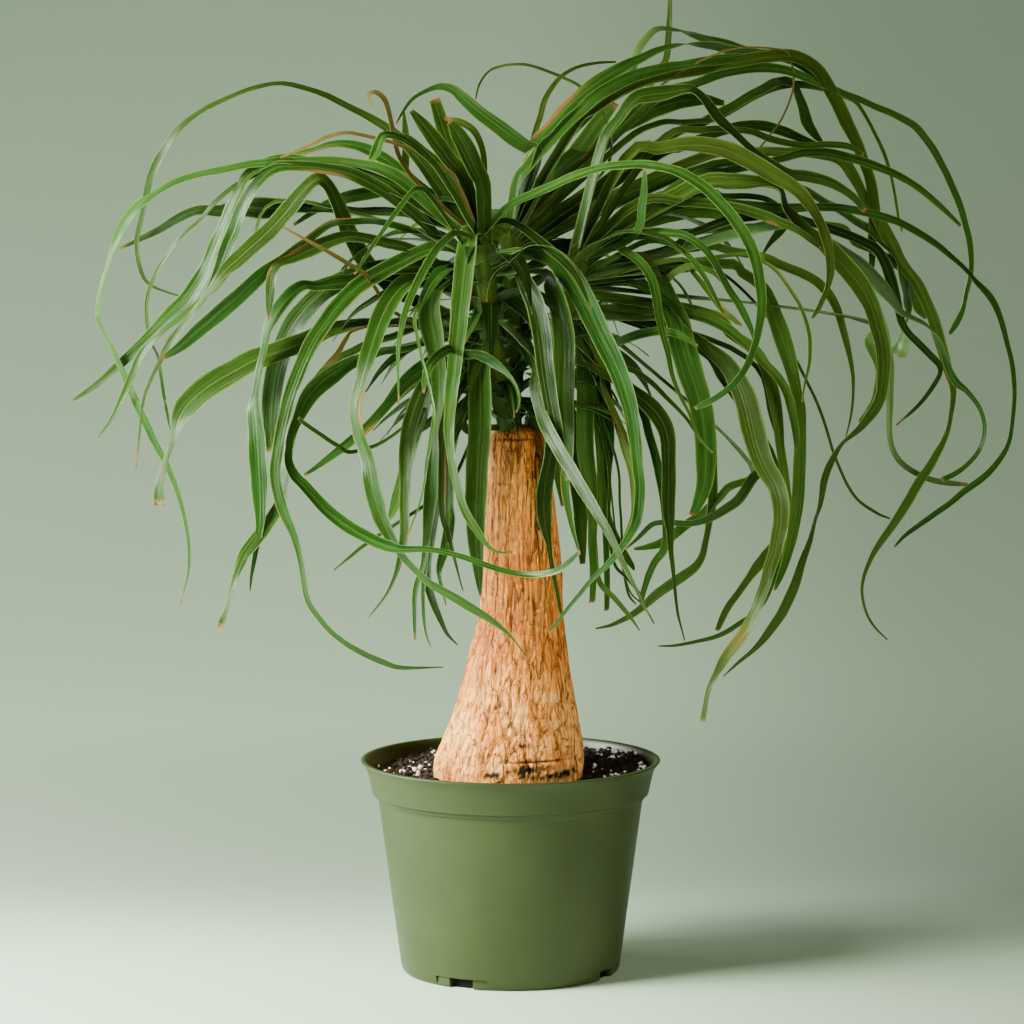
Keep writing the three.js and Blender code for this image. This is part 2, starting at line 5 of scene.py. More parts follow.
import bpy
import numpy as np
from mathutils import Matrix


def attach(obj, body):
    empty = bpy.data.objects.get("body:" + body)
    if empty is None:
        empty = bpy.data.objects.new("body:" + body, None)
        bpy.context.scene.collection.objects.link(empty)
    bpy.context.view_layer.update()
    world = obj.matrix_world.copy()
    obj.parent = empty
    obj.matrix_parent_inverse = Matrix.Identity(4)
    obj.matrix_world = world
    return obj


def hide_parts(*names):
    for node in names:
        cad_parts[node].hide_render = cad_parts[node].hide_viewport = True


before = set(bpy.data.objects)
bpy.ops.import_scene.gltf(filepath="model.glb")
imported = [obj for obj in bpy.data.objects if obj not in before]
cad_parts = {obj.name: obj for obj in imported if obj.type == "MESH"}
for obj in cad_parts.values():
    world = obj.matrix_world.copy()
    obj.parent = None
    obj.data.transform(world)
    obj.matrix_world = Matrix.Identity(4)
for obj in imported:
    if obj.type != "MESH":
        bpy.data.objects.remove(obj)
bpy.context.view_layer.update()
mm = 0.001
fullTurn = 2 * np.pi


# An sRGB hex colour as linear: c / 12.92 up to 0.04045, and ((c + 0.055) / 1.055) ^ 2.4 above
def hexColour(text):
    channel = np.array([int(text[i:i + 2], 16) for i in (1, 3, 5)]) / 255
    linear = np.where(channel <= 0.04045, channel / 12.92, ((channel + 0.055) / 1.055) ** 2.4)
    return (*linear.tolist(), 1.0)


# Adds one node, sets it up and links it
def addNode(tree, kind, settings, sockets):
    node = tree.nodes.new("ShaderNode" + kind)
    for name, value in settings.items():
        setattr(node, name, value)
    for name, value in sockets.items():
        if isinstance(value, bpy.types.NodeSocket):
            tree.links.new(value, node.inputs[name])
        else:
            node.inputs[name].default_value = value
    return node


# Short forms of addNode for the nodes used most; each gives back the node's output. First, a mesh's own value
def attribute(tree, name, output="Fac"):
    return addNode(tree, "Attribute", {"attribute_name": name}, {}).outputs[output]


# One sum on one to three values
def calculate(tree, operation, first, second=0.0, third=0.0, clamped=False):
    settings = {"operation": operation, "use_clamp": clamped}
    return addNode(tree, "Math", settings, {0: first, 1: second, 2: third}).outputs[0]


# Colour from first to second by the share; the second one is a hex colour
def blend(tree, share, first, second):
    return addNode(tree, "Mix", {"data_type": "RGBA"}, {0: share, 6: first, 7: hexColour(second)}).outputs[2]


# A value moved from one range to another and kept within it
def mapped(tree, value, low, high, toLow, toHigh):
    sockets = {"Value": value, "From Min": low, "From Max": high, "To Min": toLow, "To Max": toHigh}
    return addNode(tree, "MapRange", {}, sockets).outputs[0]


# Noise over a place that is first stretched along each axis
def noise(tree, place, scale, detail, roughness=0.5, stretch=None):
    if stretch:
        place = addNode(tree, "Mapping", {}, {"Vector": place, "Scale": stretch}).outputs[0]
    sockets = {"Vector": place, "Scale": scale, "Detail": detail, "Roughness": roughness}
    return addNode(tree, "TexNoise", {}, sockets).outputs["Fac"]


# A colour ramp: places and hex colours
def ramp(tree, share, stops):
    node = addNode(tree, "ValToRGB", {}, {"Fac": share})
    marks = node.color_ramp.elements
    while len(marks) < len(stops):
        marks.new(0.5)
    for mark, (place, colour) in zip(marks, stops):
        mark.position = place
        mark.color = hexColour(colour)
    return node.outputs["Color"]


# Small relief from a height; the distance is in metres
def bump(tree, height, strength, distance):
    return addNode(tree, "Bump", {}, {"Height": height, "Strength": strength, "Distance": distance}).outputs[0]


# Coordinates fixed to the object, in metres
def objectPlace(tree):
    return addNode(tree, "TexCoord", {}, {}).outputs["Object"]


# A new material with its node tree, ready for a shader
def newMaterial(name):
    material = bpy.data.materials.new(name)
    material.use_nodes = True
    material.node_tree.nodes.clear()
    return material, material.node_tree


# Closes a material with a Principled shader
def finishMaterial(tree, colour, roughness, normal, sockets):
    shader = addNode(tree, "BsdfPrincipled", {}, {
        "Base Color": colour, "Roughness": roughness, "Normal": normal, **sockets})
    addNode(tree, "OutputMaterial", {}, {"Surface": shader.outputs[0]})


# Large odd numbers that turn a cell's place and a seed into a random code, and the two rounds that mix it
axisPrimes = (73856093, 19349663, 83492791)
seedPrime = 2654435
mixSteps = ((15, 2246822519), (13, 3266489917))


# Smooth noise from -1 to 1: at each of a cell's 8 corners a random slope times the offset from that
# corner, blended by 6t^5 - 15t^4 + 10t^3 along each axis
def noise3(points, seed):
    cell = np.floor(points).astype(np.int64)
    local = points - cell
    weight = local ** 3 * (local * (local * 6 - 15) + 10)
    total = np.zeros(points.shape[:-1])
    for corner in range(8):
        step = np.array([corner & 1, (corner >> 1) & 1, (corner >> 2) & 1])
        at = (cell + step) * axisPrimes
        code = at[..., 0] ^ at[..., 1] ^ at[..., 2] ^ (seed * seedPrime)
        for shift, factor in mixSteps:
            code = ((code ^ (code >> shift)) * factor) & 0xFFFFFFFF
        turn = (code & 0xFFFF) / 65536 * fullTurn
        lift = ((code >> 16) & 0x7FFF) / 32768 * 2 - 1
        flat = np.sqrt(1 - lift ** 2)
        slope = np.stack([flat * np.cos(turn), flat * np.sin(turn), lift], -1)
        share = np.prod(np.where(step, weight, 1 - weight), -1)
        total += share * np.sum(slope * (local - step), -1)
    return total * 1.5


# A smooth step from 0 at low to 1 at high: 3t^2 - 2t^3
def easeStep(low, high, value):
    t = np.clip((value - low) / (high - low), 0, 1)
    return t * t * (3 - 2 * t)


# A bell of height 1 and this half width round zero: exp(-(value / width)^2)
def bell(value, width):
    return np.exp(-(value / width) ** 2)


# A curve through points: cubics whose slope at each point is half the chord between its neighbours
def smoothPath(points, count):
    ends = np.vstack([2 * points[0] - points[1], points, 2 * points[-1] - points[-2]])
    place = np.linspace(0, len(points) - 1, count)
    i = np.minimum(place.astype(int), len(points) - 2)
    t = (place - i)[:, None]
    a, b, c, d = ends[i], ends[i + 1], ends[i + 2], ends[i + 3]
    return 0.5 * (2 * b + (c - a) * t + (2 * a - 5 * b + 4 * c - d) * t ** 2 + (3 * b - a - 3 * c + d) * t ** 3)


# Points of rings about the upright axis, or about a middle that moves along X
def ringPoints(radius, angle, height, middle=0):
    return np.stack([middle + radius * np.cos(angle), radius * np.sin(angle), height], -1)


# Faces of a tube whose points run ring after ring: quads between rings and one face over each end
def tubeFaces(rings, sides):
    ring = np.arange(rings - 1)[:, None] * sides
    here = np.arange(sides)[None, :]
    ahead = (here + 1) % sides
    quads = np.stack([ring + here, ring + ahead, ring + ahead + sides, ring + here + sides], -1)
    caps = np.stack([np.arange(sides)[::-1], (rings - 1) * sides + np.arange(sides)])
    return quads.reshape(-1, 4), caps


# Turns a closed shell's faces outward: its volume, the sum of corner products of its faces, is positive
def outward(points, quads, caps):
    a, b, c, d = (points[quads[:, k]] for k in range(4))
    volume = np.sum(a * np.cross(b, c)) + np.sum(a * np.cross(c, d))
    first = points[caps[:, 0]]
    for k in range(1, caps.shape[1] - 1):
        volume += np.sum(first * np.cross(points[caps[:, k]], points[caps[:, k + 1]]))
    return (quads, caps) if volume > 0 else (quads[:, ::-1], caps[:, ::-1])


# Puts points and faces into a piece of the object that rides on the part's one body
def makePiece(name, points, faces, material, nodes=(), values=None, sharpAngle=None):
    mesh = bpy.data.meshes.new(name)
    mesh.vertices.add(len(points))
    mesh.vertices.foreach_set("co", (points * mm).astype(np.float32).ravel())
    corners = np.concatenate([f.ravel() for f in faces]).astype(np.int32)
    sizes = np.concatenate([np.full(len(f), f.shape[1]) for f in faces])
    mesh.loops.add(len(corners))
    mesh.loops.foreach_set("vertex_index", corners)
    mesh.polygons.add(len(sizes))
    mesh.polygons.foreach_set("loop_start", (np.cumsum(sizes) - sizes).astype(np.int32))
    for key, value in (values or {}).items():
        kind, field = ("FLOAT", "value") if value.ndim == 1 else ("FLOAT_VECTOR", "vector")
        layer = mesh.attributes.new(key, kind, "POINT")
        layer.data.foreach_set(field, value.astype(np.float32).ravel())
    mesh.update(calc_edges=True)
    mesh.shade_smooth()
    if sharpAngle:
        mesh.set_sharp_from_angle(angle=math.radians(sharpAngle))
    mesh.materials.append(material)
    piece = bpy.data.objects.new(name, mesh)
    bpy.context.collection.objects.link(piece)
    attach(piece, "root")
    if nodes:
        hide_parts(*nodes)


# The nursery pot
potSizes = {
    "columns": 300, "footRadius": 60.85, "edgeRadius": 60.5, "footWall": 1, "sharpAngle": 32,
    "notchAngles": [-27, 62, 153, 243], "notchWidth": 31, "notchHeight": 5.8, "notchDepth": 1.3,
    "slotWidth": 14, "slotHeight": 5.3, "slotDepth": 5.4, "bevel": 0.004,
    "cloudScale": 22.0, "speckScale": 62.0, "speckRadius": 0.045, "darkShare": 0.1, "paleShare": 0.05,
    "glossy": 0.36, "dull": 0.48, "grainScale": 900.0, "grainDepth": 0.0004,
    "plastic": "#2b3416", "plasticPale": "#333c1c", "dust": "#a9ae90", "soilMark": "#2b2418", "slotShadeAndSoil": "#0d0b08",
}
# Radius and height up the outside, over the lip and down the inside. The band steps in twice at its foot.
potOutside = [
    (6, 0), (40, 0), (56.8, 0), (58.7, 0.35), (59.7, 1.3), (60.3, 2.8), (60.75, 4.6), (60.82, 5.25), (60.84, 5.45),
    (60.86, 5.7), (60.88, 5.95), (61, 7), (62.2, 16), (65, 37), (67.8, 58), (70.6, 79), (72.6, 94), (72.9, 96.2),
    (73.2, 96.7), (73.95, 96.95), (74.15, 97.3), (74.25, 98.6), (74.4, 98.9), (75.7, 99.1), (76.2, 99.5),
    (76.35, 100.3), (77.2, 104.5), (78.3, 109), (79.1, 111.8), (79.9, 113.8), (81, 115.5), (82.1, 116.6),
    (82.5, 117.2), (82.4, 117.7), (81.9, 118), (80.9, 118), (80.2, 117.85), (79.7, 117.4), (78.9, 115.6),
    (78, 112), (76.8, 107.5), (74.9, 100.6), (74.3, 99.8), (71.7, 97.6), (71.2, 96), (65, 54), (59.6, 14),
    (58.6, 7.6), (58, 6.1), (57.6, 5.1), (56.6, 3.2), (55.4, 2.3), (30, 2.2), (6, 2.2),
]


# Moulded polypropylene with recycled pigment: a satin green with faint clouding, dust and a few soil specks
# A slot's closed back wall is painted near-black and matt, for the soil and the shade seen through an open slot
def plasticMaterial():
    size = potSizes
    material, tree = newMaterial("moulded polypropylene")
    place = objectPlace(tree)
    cloud = noise(tree, place, size["cloudScale"], 3.0)
    green = ramp(tree, cloud, [(0.32, size["plastic"]), (0.7, size["plasticPale"])])
    cells = addNode(tree, "TexVoronoi", {}, {"Vector": place, "Scale": size["speckScale"]})
    pick = addNode(tree, "SeparateColor", {}, {"Color": cells.outputs["Color"]}).outputs["Red"]
    speck = calculate(tree, "LESS_THAN", cells.outputs["Distance"], size["speckRadius"])
    dark = calculate(tree, "MULTIPLY", speck, calculate(tree, "LESS_THAN", pick, size["darkShare"]))
    pale = calculate(tree, "MULTIPLY", speck, calculate(tree, "GREATER_THAN", pick, 1 - size["paleShare"]))
    dusted = blend(tree, pale, blend(tree, dark, green, size["soilMark"]), size["dust"])
    # The slots' back walls: painted near-black and matt, as soil and painted shade seen through a slot
    slotShadeAndSoil = attribute(tree, "slotSoilAndShadeMask")
    satin = calculate(tree, "MAXIMUM", mapped(tree, cloud, 0.0, 1.0, size["glossy"], size["dull"]), slotShadeAndSoil)
    grain = bump(tree, noise(tree, place, size["grainScale"], 2.0), 0.12, size["grainDepth"])
    finishMaterial(tree, blend(tree, slotShadeAndSoil, dusted, size["slotShadeAndSoil"]), satin, grain, {
        "IOR": 1.49, "Specular IOR Level": 0.34})
    return material


# The pot: the profile turned about Z, pushed in at the notches. Near a notch's middle the wall stands back
# by the notch depth over the notch width, and by the slot depth over the slot width.
def buildPot():
    size = potSizes
    wall, rim = size["footRadius"], size["edgeRadius"]
    profile = np.array(potOutside, float)
    top = int(np.argmax(profile[:, 0]))
    bevel = np.array([-size["bevel"], 0, 0, size["bevel"]])
    angles = [np.linspace(0, fullTurn, size["columns"], endpoint=False)]
    middles = [math.radians(degrees - 90) for degrees in size["notchAngles"]]
    for middle in middles:
        for width in (size["notchWidth"], size["slotWidth"]):
            edge = width / 2 / rim
            angles.append((middle + np.array([-edge, -edge, edge, edge]) + bevel) % fullTurn)
    angle = np.unique(np.concatenate(angles))
    radius = np.repeat(profile[:, :1], len(angle), 1)
    height = np.repeat(profile[:, 1:], len(angle), 1)
    outer = (np.arange(len(profile)) < top)[:, None]
    notch, slot = np.zeros(len(angle)), np.zeros(len(angle))
    for middle in middles:
        off = np.abs((angle - middle + np.pi) % fullTurn - np.pi) * rim - 0.01
        notch[off <= size["notchWidth"] / 2] = size["notchDepth"]
        slot[off <= size["slotWidth"] / 2] = size["slotDepth"]
    deep = np.maximum(notch, slot)
    pushed = np.where(height < size["notchHeight"], np.minimum(radius, wall - notch), radius)
    pushed = np.where(height < size["slotHeight"], np.minimum(pushed, wall - deep), pushed)
    inner = np.where(height < size["notchHeight"] + 0.4, np.minimum(radius, wall - deep - size["footWall"]), radius)
    points = ringPoints(np.where(outer, pushed, inner), angle, height).reshape(-1, 3)
    # Marks the slots' back walls, which the material paints near-black for the soil and shade seen through them
    dark = (outer & (height < size["slotHeight"]) & (slot > 0)).astype(float).ravel()
    faces = outward(points, *tubeFaces(len(profile), len(angle)))
    makePiece("nursery_pot", points, faces, plasticMaterial(), ["pot"], {"slotSoilAndShadeMask": dark}, size["sharpAngle"])


# The potting soil, with loose crumbs and perlite grains on it
soilSizes = {
    "top": 108.6, "columns": 260, "rows": 70, "holeRadius": 41.6, "holeShift": -1.5, "wallRadius": 76.8, "seed": 5,
    "crumbs": 1500, "crumbSeed": 11, "perlite": 190, "perliteSeed": 12,
    "peat": "#120e09", "peatPale": "#2a2016", "fibre": "#6b4a30", "pit": "#8f8d80", "perliteColour": "#d9d8ce",
}
# Radius and height of the soil under its top, against the pot's inside, and down the trunk's socket
soilUnder = [(8, 2.7), (54.5, 2.7), (57.3, 8), (70.6, 96.5), (73.6, 100.5), (75.9, 105)]
soilSocket = [(41.6, 100), (41.6, 71.6), (8, 71.6)]
# The larger grains that show over the lip: x, y
perliteSeen = [
    (-50, 14), (-53, 10), (-47, 9), (-51, 5), (-45, 16), (-56, 12), (-73, 17), (-75, 12), (72, 12), (66, 34),
    (68, 30), (58, 40), (61, 8), (74, 4),
]


# Height of the ground: two broad banks against the wall at the back and right, then clods and crumbs of noise
def soilHeight(x, y):
    flat = np.stack([x, y, np.zeros_like(x)], -1)
    bank = 4.6 * easeStep(-10, 45, y) * easeStep(-72, -30, x) + 2.2 * easeStep(40, 76, x)
    clods = 1.1 * noise3(flat / 9, 3) + 0.8 * noise3(flat / 4, 4) + 0.35 * noise3(flat / 1.8, 6)
    return soilSizes["top"] + bank + clods


# Peat mix: near-black damp fibres, a little paler where crumbs have dried
def peatMaterial():
    material, tree = newMaterial("damp peat mix")
    crumb = noise(tree, objectPlace(tree), 260.0, 5.0, 0.65)
    stops = [(0.35, soilSizes["peat"]), (0.62, soilSizes["peatPale"]), (0.78, soilSizes["fibre"])]
    finishMaterial(tree, ramp(tree, crumb, stops), 0.92, bump(tree, crumb, 0.8, 0.001), {})
    return material


# Expanded perlite: white foamed glass grains, chalky and pitted
def perliteMaterial():
    material, tree = newMaterial("expanded perlite")
    pits = noise(tree, objectPlace(tree), 1400.0, 2.0)
    stops = [(0.3, soilSizes["pit"]), (0.55, soilSizes["perliteColour"])]
    finishMaterial(tree, ramp(tree, pits, stops), 0.8, bump(tree, pits, 0.5, 0.0004), {})
    return material


# Many small lumps from one: a round grid whose radius has noise, sized, turned and set at each place
def lumps(name, places, radii, flatness, material, seed):
    draw = np.random.default_rng(seed)
    rings, sides = 5, 7
    polar = np.linspace(0.35, np.pi - 0.35, rings)[:, None]
    ball = ringPoints(np.sin(polar), np.linspace(0, fullTurn, sides, endpoint=False),
                      np.repeat(np.cos(polar), sides, 1)).reshape(-1, 3)
    count = len(places)
    rough = 1 + 0.22 * draw.standard_normal((count, len(ball)))
    stretch = 1 + 0.3 * draw.uniform(-1, 1, (count, 1, 3))
    points = ball[None] * np.clip(rough, 0.6, 1.5)[..., None] * stretch * radii[:, None, None]
    turn = draw.uniform(0, fullTurn, count)[:, None]
    tilt = draw.uniform(-0.7, 0.7, count)[:, None]
    x = points[..., 0] * np.cos(tilt) - points[..., 2] * np.sin(tilt)
    y = points[..., 1]
    z = points[..., 0] * np.sin(tilt) + points[..., 2] * np.cos(tilt)
    turned = np.stack([x * np.cos(turn) - y * np.sin(turn), x * np.sin(turn) + y * np.cos(turn), z * flatness], -1)
    points = turned + places[:, None, :]
    quads, caps = outward(ball, *tubeFaces(rings, sides))
    shift = (np.arange(count) * len(ball))[:, None, None]
    faces = ((quads[None] + shift).reshape(-1, 4), (caps[None] + shift).reshape(-1, sides))
    makePiece(name, points.reshape(-1, 3), faces, material)


# Places on the open ring of soil, spread evenly by area
def soilPlaces(draw, count, low, high):
    angle = draw.uniform(0, fullTurn, count)
    radius = np.sqrt(draw.uniform(low ** 2, high ** 2, count))
    return radius * np.cos(angle), radius * np.sin(angle)


# The soil: rings up its underside, over its top from the pot's wall to the trunk, and down the socket
def buildSoil():
    size = soilSizes
    angle = np.linspace(0, fullTurn, size["columns"], endpoint=False)
    under, socket = np.array(soilUnder), np.array(soilSocket)
    topRows = np.linspace(size["wallRadius"], size["holeRadius"], size["rows"])
    radii = np.concatenate([under[:, 0], topRows, socket[:, 0]])
    flat = np.concatenate([under[:, 1], np.zeros(size["rows"]), socket[:, 1]])
    shift = np.concatenate([np.zeros(len(under)), np.linspace(0, 1, size["rows"]), np.ones(len(socket))])
    heights = np.repeat(flat[:, None], size["columns"], 1)
    points = ringPoints(radii[:, None], angle, heights, size["holeShift"] * shift[:, None])
    onTop = slice(len(under), len(under) + size["rows"])
    points[onTop, :, 2] = soilHeight(points[onTop, :, 0], points[onTop, :, 1])
    points = points.reshape(-1, 3)
    faces = outward(points, *tubeFaces(len(radii), size["columns"]))
    peat = peatMaterial()
    makePiece("potting_soil", points, faces, peat, ["soil"])
    draw = np.random.default_rng(size["seed"])
    x, y = soilPlaces(draw, size["crumbs"], 42.5, 75.5)
    radii = draw.uniform(0.5, 1.5, len(x)) * (1 + draw.uniform(0, 1, len(x)) ** 6)
    places = np.stack([x, y, soilHeight(x, y) + radii * 0.25], -1)
    lumps("soil_crumbs", places, radii, 0.75, peat, size["crumbSeed"])
    x, y = np.concatenate([soilPlaces(draw, size["perlite"], 43, 74.5), np.array(perliteSeen, float).T], 1)
    radii = draw.uniform(0.6, 1.35, len(x))
    radii[-len(perliteSeen):] = draw.uniform(1.3, 1.8, len(perliteSeen))
    places = np.stack([x, y, soilHeight(x, y) + radii * 0.45], -1)
    lumps("perlite_grains", places, radii, 0.85, perliteMaterial(), size["perliteSeed"])


# The trunk
trunkSizes = {
    "columns": 264, "rows": 350, "plugRadius": 41.3, "plugShift": -1.5, "plugFloor": 72, "plugBevel": 6,
    "furrows": 4.7, "furrowDepth": 1.15, "fineFurrows": 9.5, "fineDepth": 0.5, "netDepth": 0.75, "checkDepth": 0.35,
    "flakeDepth": 0.3, "swellDepth": 0.7,
    "cream": "#fcbe6c", "peach": "#e28f3e", "tan": "#c6712a", "russet": "#9c521e", "crack": "#5c3317",
    "mossAndShade": "#1a1c12", "roughness": 0.74,
}
# Height, middle and half width, from the soil up
trunkOutline = [
    (104, -1.5, 41.3), (111, -1.5, 41.5), (117, -0.8, 41.2), (124, 0.1, 39.8), (137, 1.9, 36.2), (150, 3.1, 32.8),
    (164, 3.9, 29.7), (178, 4.4, 27), (192, 5.4, 24), (206, 6, 22.4), (220, 6.4, 21.9), (236, 6.1, 20.9),
    (252, 5.5, 19.7), (268, 5, 18.2), (282, 4.6, 16.8), (291, 4.3, 16.2), (296, 4.2, 15.2), (299.5, 4.1, 12.6),
    (302, 4, 8), (303, 4, 3),
]
# Marks on the bark as seen from the front: x, z, half width, half height, depth, darkness
barkMarks = [
    (-8.7, 166.5, 0.9, 3.4, 1.3, 1.0), (-6.1, 148.2, 0.8, 3.8, 1.3, 1.0), (-2.1, 142.2, 1.1, 1.1, 0.7, 0.7),
    (-30.8, 140.8, 1.2, 1.3, 0.5, 0.9), (-15.6, 206.4, 2.6, 0.9, 1.2, 1.0), (-16.6, 209.6, 2.2, 1.8, -1.6, 0.0),
    (-6, 268.6, 4.6, 0.5, -0.5, -0.7), (-6, 270, 4.8, 0.5, 0.5, 0.8), (4, 294.3, 14, 0.7, 1.0, 0.9),
    (16, 115.6, 19, 0.55, 1.3, 1.0), (13, 199, 0.7, 15, 0.8, 0.8), (7.5, 240, 2.5, 0.6, 0.3, 0.5),
    (4.5, 285, 0.7, 9, 0.9, 0.9), (-24, 117, 0.8, 6, 1.0, 0.9), (-16, 119, 0.8, 7, 1.0, 0.9),
    (5, 158, 0.6, 9, 0.8, 0.7),
]
# Dark patches near the soil as seen from the front, partly damp algae and partly painted shade where the trunk meets
# the soil: x, z, half width, half height, strength
mossAndShadePatches = [
    (4, 124.5, 7, 1.6, 1.3), (6, 110.4, 5.5, 3.2, 2.6), (-11, 108.3, 5, 2.2, 2.0), (18, 112.6, 9, 1.3, 1.0),
    (32, 110.5, 8, 3, 1.8), (-36, 110.5, 6, 1.6, 0.9), (-24, 108, 5, 1.2, 1.0), (19, 107.6, 10, 1.7, 1.7),
]
# Where the photograph was taken from: distance from the trunk's upright line and height above the floor
eyeDistance = 2580
eyeHeight = 550


# The trunk's middle and half width at a height, along one smooth curve through the outline
def trunkAt(z):
    path = smoothPath(np.array(trunkOutline, float), 600)
    return np.interp(z, path[:, 0], path[:, 1]), np.interp(z, path[:, 0], path[:, 2])


# How strongly a mark seen at x, z shows at each point: a bell over the arc and the height from its middle
def markShare(angle, z, radius, seenX, seenZ, halfWidth, halfHeight):
    middle, half = trunkAt(seenZ)
    side = np.clip((seenX - middle) / half, -0.98, 0.98)
    nearer = 1 - half * math.sqrt(1 - side ** 2) / eyeDistance
    height = eyeHeight + (seenZ - eyeHeight) * nearer
    arc = (angle - (math.asin(side) - math.pi / 2) + np.pi) % fullTurn - np.pi
    return bell(arc * radius, halfWidth) * bell(z - height, halfHeight)


# Thin wavy lines, 1 on a line and 0 off it: strength x (1 - |noise - 0.5| / width)
def addLines(tree, place, stretch, scale, width, strength):
    off = calculate(tree, "SUBTRACT", noise(tree, place, scale, 1.5, stretch=(1.0, 1.0, stretch)), 0.5)
    return mapped(tree, calculate(tree, "ABSOLUTE", off), 0.0, width, strength, 0.0)


# Corky bark of an old caudex: dry buff ridges, tan flanks and dark wandering cracks. Thin furrow lines lie where
# a stretched noise passes its middle value, and short ones cross them.
def barkMaterial():
    size = trunkSizes
    material, tree = newMaterial("corky bark")
    place = objectPlace(tree)
    streak = noise(tree, place, 420.0, 4.0, 0.6, (1.0, 1.0, 0.22))
    streaked = calculate(tree, "MULTIPLY_ADD", streak, 0.85, -0.42)
    # The tone from the mesh carries painted light: the trunk's right-hand side is painted lighter
    warm = calculate(tree, "ADD", streaked, attribute(tree, "barkToneWithPaintedLight"), clamped=True)
    stops = [(0.1, size["cream"]), (0.34, size["peach"]), (0.62, size["tan"]), (0.92, size["russet"])]
    cracked = blend(tree, attribute(tree, "barkDark"), ramp(tree, warm, stops), size["crack"])
    furrows = calculate(tree, "MAXIMUM", addLines(tree, place, 0.11, 100.0, 0.016, 1.0),
                        addLines(tree, place, 0.11, 230.0, 0.024, 0.7))
    lines = calculate(tree, "MAXIMUM", furrows, addLines(tree, place, 1.5, 150.0, 0.01, 0.3))
    lined = blend(tree, lines, cracked, size["crack"])
    fleck = noise(tree, place, 760.0, 2.0, stretch=(1.0, 1.0, 0.4))
    chipped = blend(tree, mapped(tree, fleck, 0.58, 0.7, 0.0, 0.5), lined, size["cream"])
    # Dark at the foot: partly moss and rot, partly painted shade where the trunk meets the soil
    finishMaterial(tree, blend(tree, attribute(tree, "mossAndFootShade"), chipped, size["mossAndShade"]), size["roughness"],
                   bump(tree, calculate(tree, "SUBTRACT", streak, lines), 0.8, 0.0011), {"Specular IOR Level": 0.25})
    return material


# The trunk: its outline turned about its own middle. Furrows run where stretched noise crosses zero, as
# exp(-(noise / width)^2), and the outline is sunk there; near the soil a net of short cracks joins them.
def buildTrunk():
    size = trunkSizes
    outline = smoothPath(np.array(trunkOutline, float), 1200)
    length = np.concatenate([[0], np.cumsum(np.hypot(np.diff(outline[:, 0]), np.diff(outline[:, 2])))])
    along = np.linspace(0, length[-1], size["rows"])
    z, middle, half = (np.interp(along, length, outline[:, k]) for k in range(3))
    angle = np.linspace(0, fullTurn, size["columns"], endpoint=False)
    turn, height = np.meshgrid(angle, z)
    radius = np.repeat(half[:, None], len(angle), 1)
    ring = np.stack([np.cos(turn), np.sin(turn)], -1)
    flat = ring * radius[..., None]

    # Noise over the bark's surface, with cells this wide and this tall
    def barkNoise(place, wide, tall, seed):
        return noise3(np.stack([place[..., 0] / wide, place[..., 1] / wide, height / tall], -1), seed)

    stretch = np.interp(height, [104, 128, 170, 303], [14, 24, 48, 52])
    climb = np.cumsum(np.gradient(z)[:, None] / stretch, 0)
    sway = 0.35 * barkNoise(ring, 1 / 3, 16, 21)[..., None]

    def furrow(count, rise, seed, width):
        return bell(noise3(np.concatenate([ring * count + sway, (climb * rise)[..., None]], -1), seed), width)

    wide = furrow(size["furrows"], 0.9, 31, 0.065)
    fine = furrow(size["fineFurrows"], 2.1, 32, 0.09)
    net = bell(barkNoise(flat, 6, 8, 33), 0.06) * (1 - easeStep(122, 160, height))
    check = bell(barkNoise(flat, 9, 2.6, 34), 0.08) * easeStep(0.05, 0.4, barkNoise(flat, 7, 9, 35))
    flake = barkNoise(flat, 1.6, 4.5, 36)
    swell = barkNoise(flat, 14, 30, 37)
    depth = (size["furrowDepth"] * wide + size["fineDepth"] * fine + size["netDepth"] * net
             + size["checkDepth"] * check - size["flakeDepth"] * flake - size["swellDepth"] * swell)
    dark = 0.5 * wide + 0.25 * fine + 0.4 * net + 0.3 * check
    for *mark, sink, shade in barkMarks:
        share = markShare(turn, height, radius, *mark)
        depth += sink * share
        dark += shade * share
    mossAndShade = np.zeros_like(height)
    for *mark, strength in mossAndShadePatches:
        mossAndShade += strength * markShare(turn, height, radius, *mark)
    blotch = 0.6 + 0.8 * barkNoise(flat, 2.2, 3.4, 38)
    # The patches and a band all round the foot just above the soil are partly moss and rot, partly painted shade
    # where the trunk meets the soil
    mossAndShade = np.clip(mossAndShade * blotch + 0.5 * (1 - easeStep(108, 115, height)) * blotch, 0, 1)
    # The right-hand side is painted lighter, as painted light on the side away from the key lamp; near the top the
    # right-hand side is darker
    right = np.cos(turn)
    toneAndPaintedLight = 0.36 + 0.26 * easeStep(135, 190, height) - 0.12 * easeStep(215, 260, height)
    toneAndPaintedLight += 0.3 * swell + 0.2 * flake - 0.12 * easeStep(-0.2, 0.9, right)
    toneAndPaintedLight += 0.3 * easeStep(262, 285, height) * easeStep(-0.1, 0.6, right)
    radius = radius - depth * easeStep(0, 6, radius)
    plug = [(size["plugRadius"] - size["plugBevel"], size["plugFloor"]),
            (size["plugRadius"], size["plugFloor"] + size["plugBevel"])]
    buried = [ringPoints(r, angle, np.full_like(angle, h), size["plugShift"]) for r, h in plug]
    points = np.concatenate([buried, ringPoints(radius, turn, height, middle[:, None])])
    pad = np.zeros((2, len(angle)))
    values = {key: np.concatenate([pad, np.clip(value, 0, 1)]).ravel()
              for key, value in (("barkDark", dark), ("barkToneWithPaintedLight", toneAndPaintedLight), ("mossAndFootShade", mossAndShade))}
    faces = outward(points.reshape(-1, 3), *tubeFaces(len(points), len(angle)))
    makePiece("caudex_trunk", points.reshape(-1, 3), faces, barkMaterial(), ["trunk"], values)


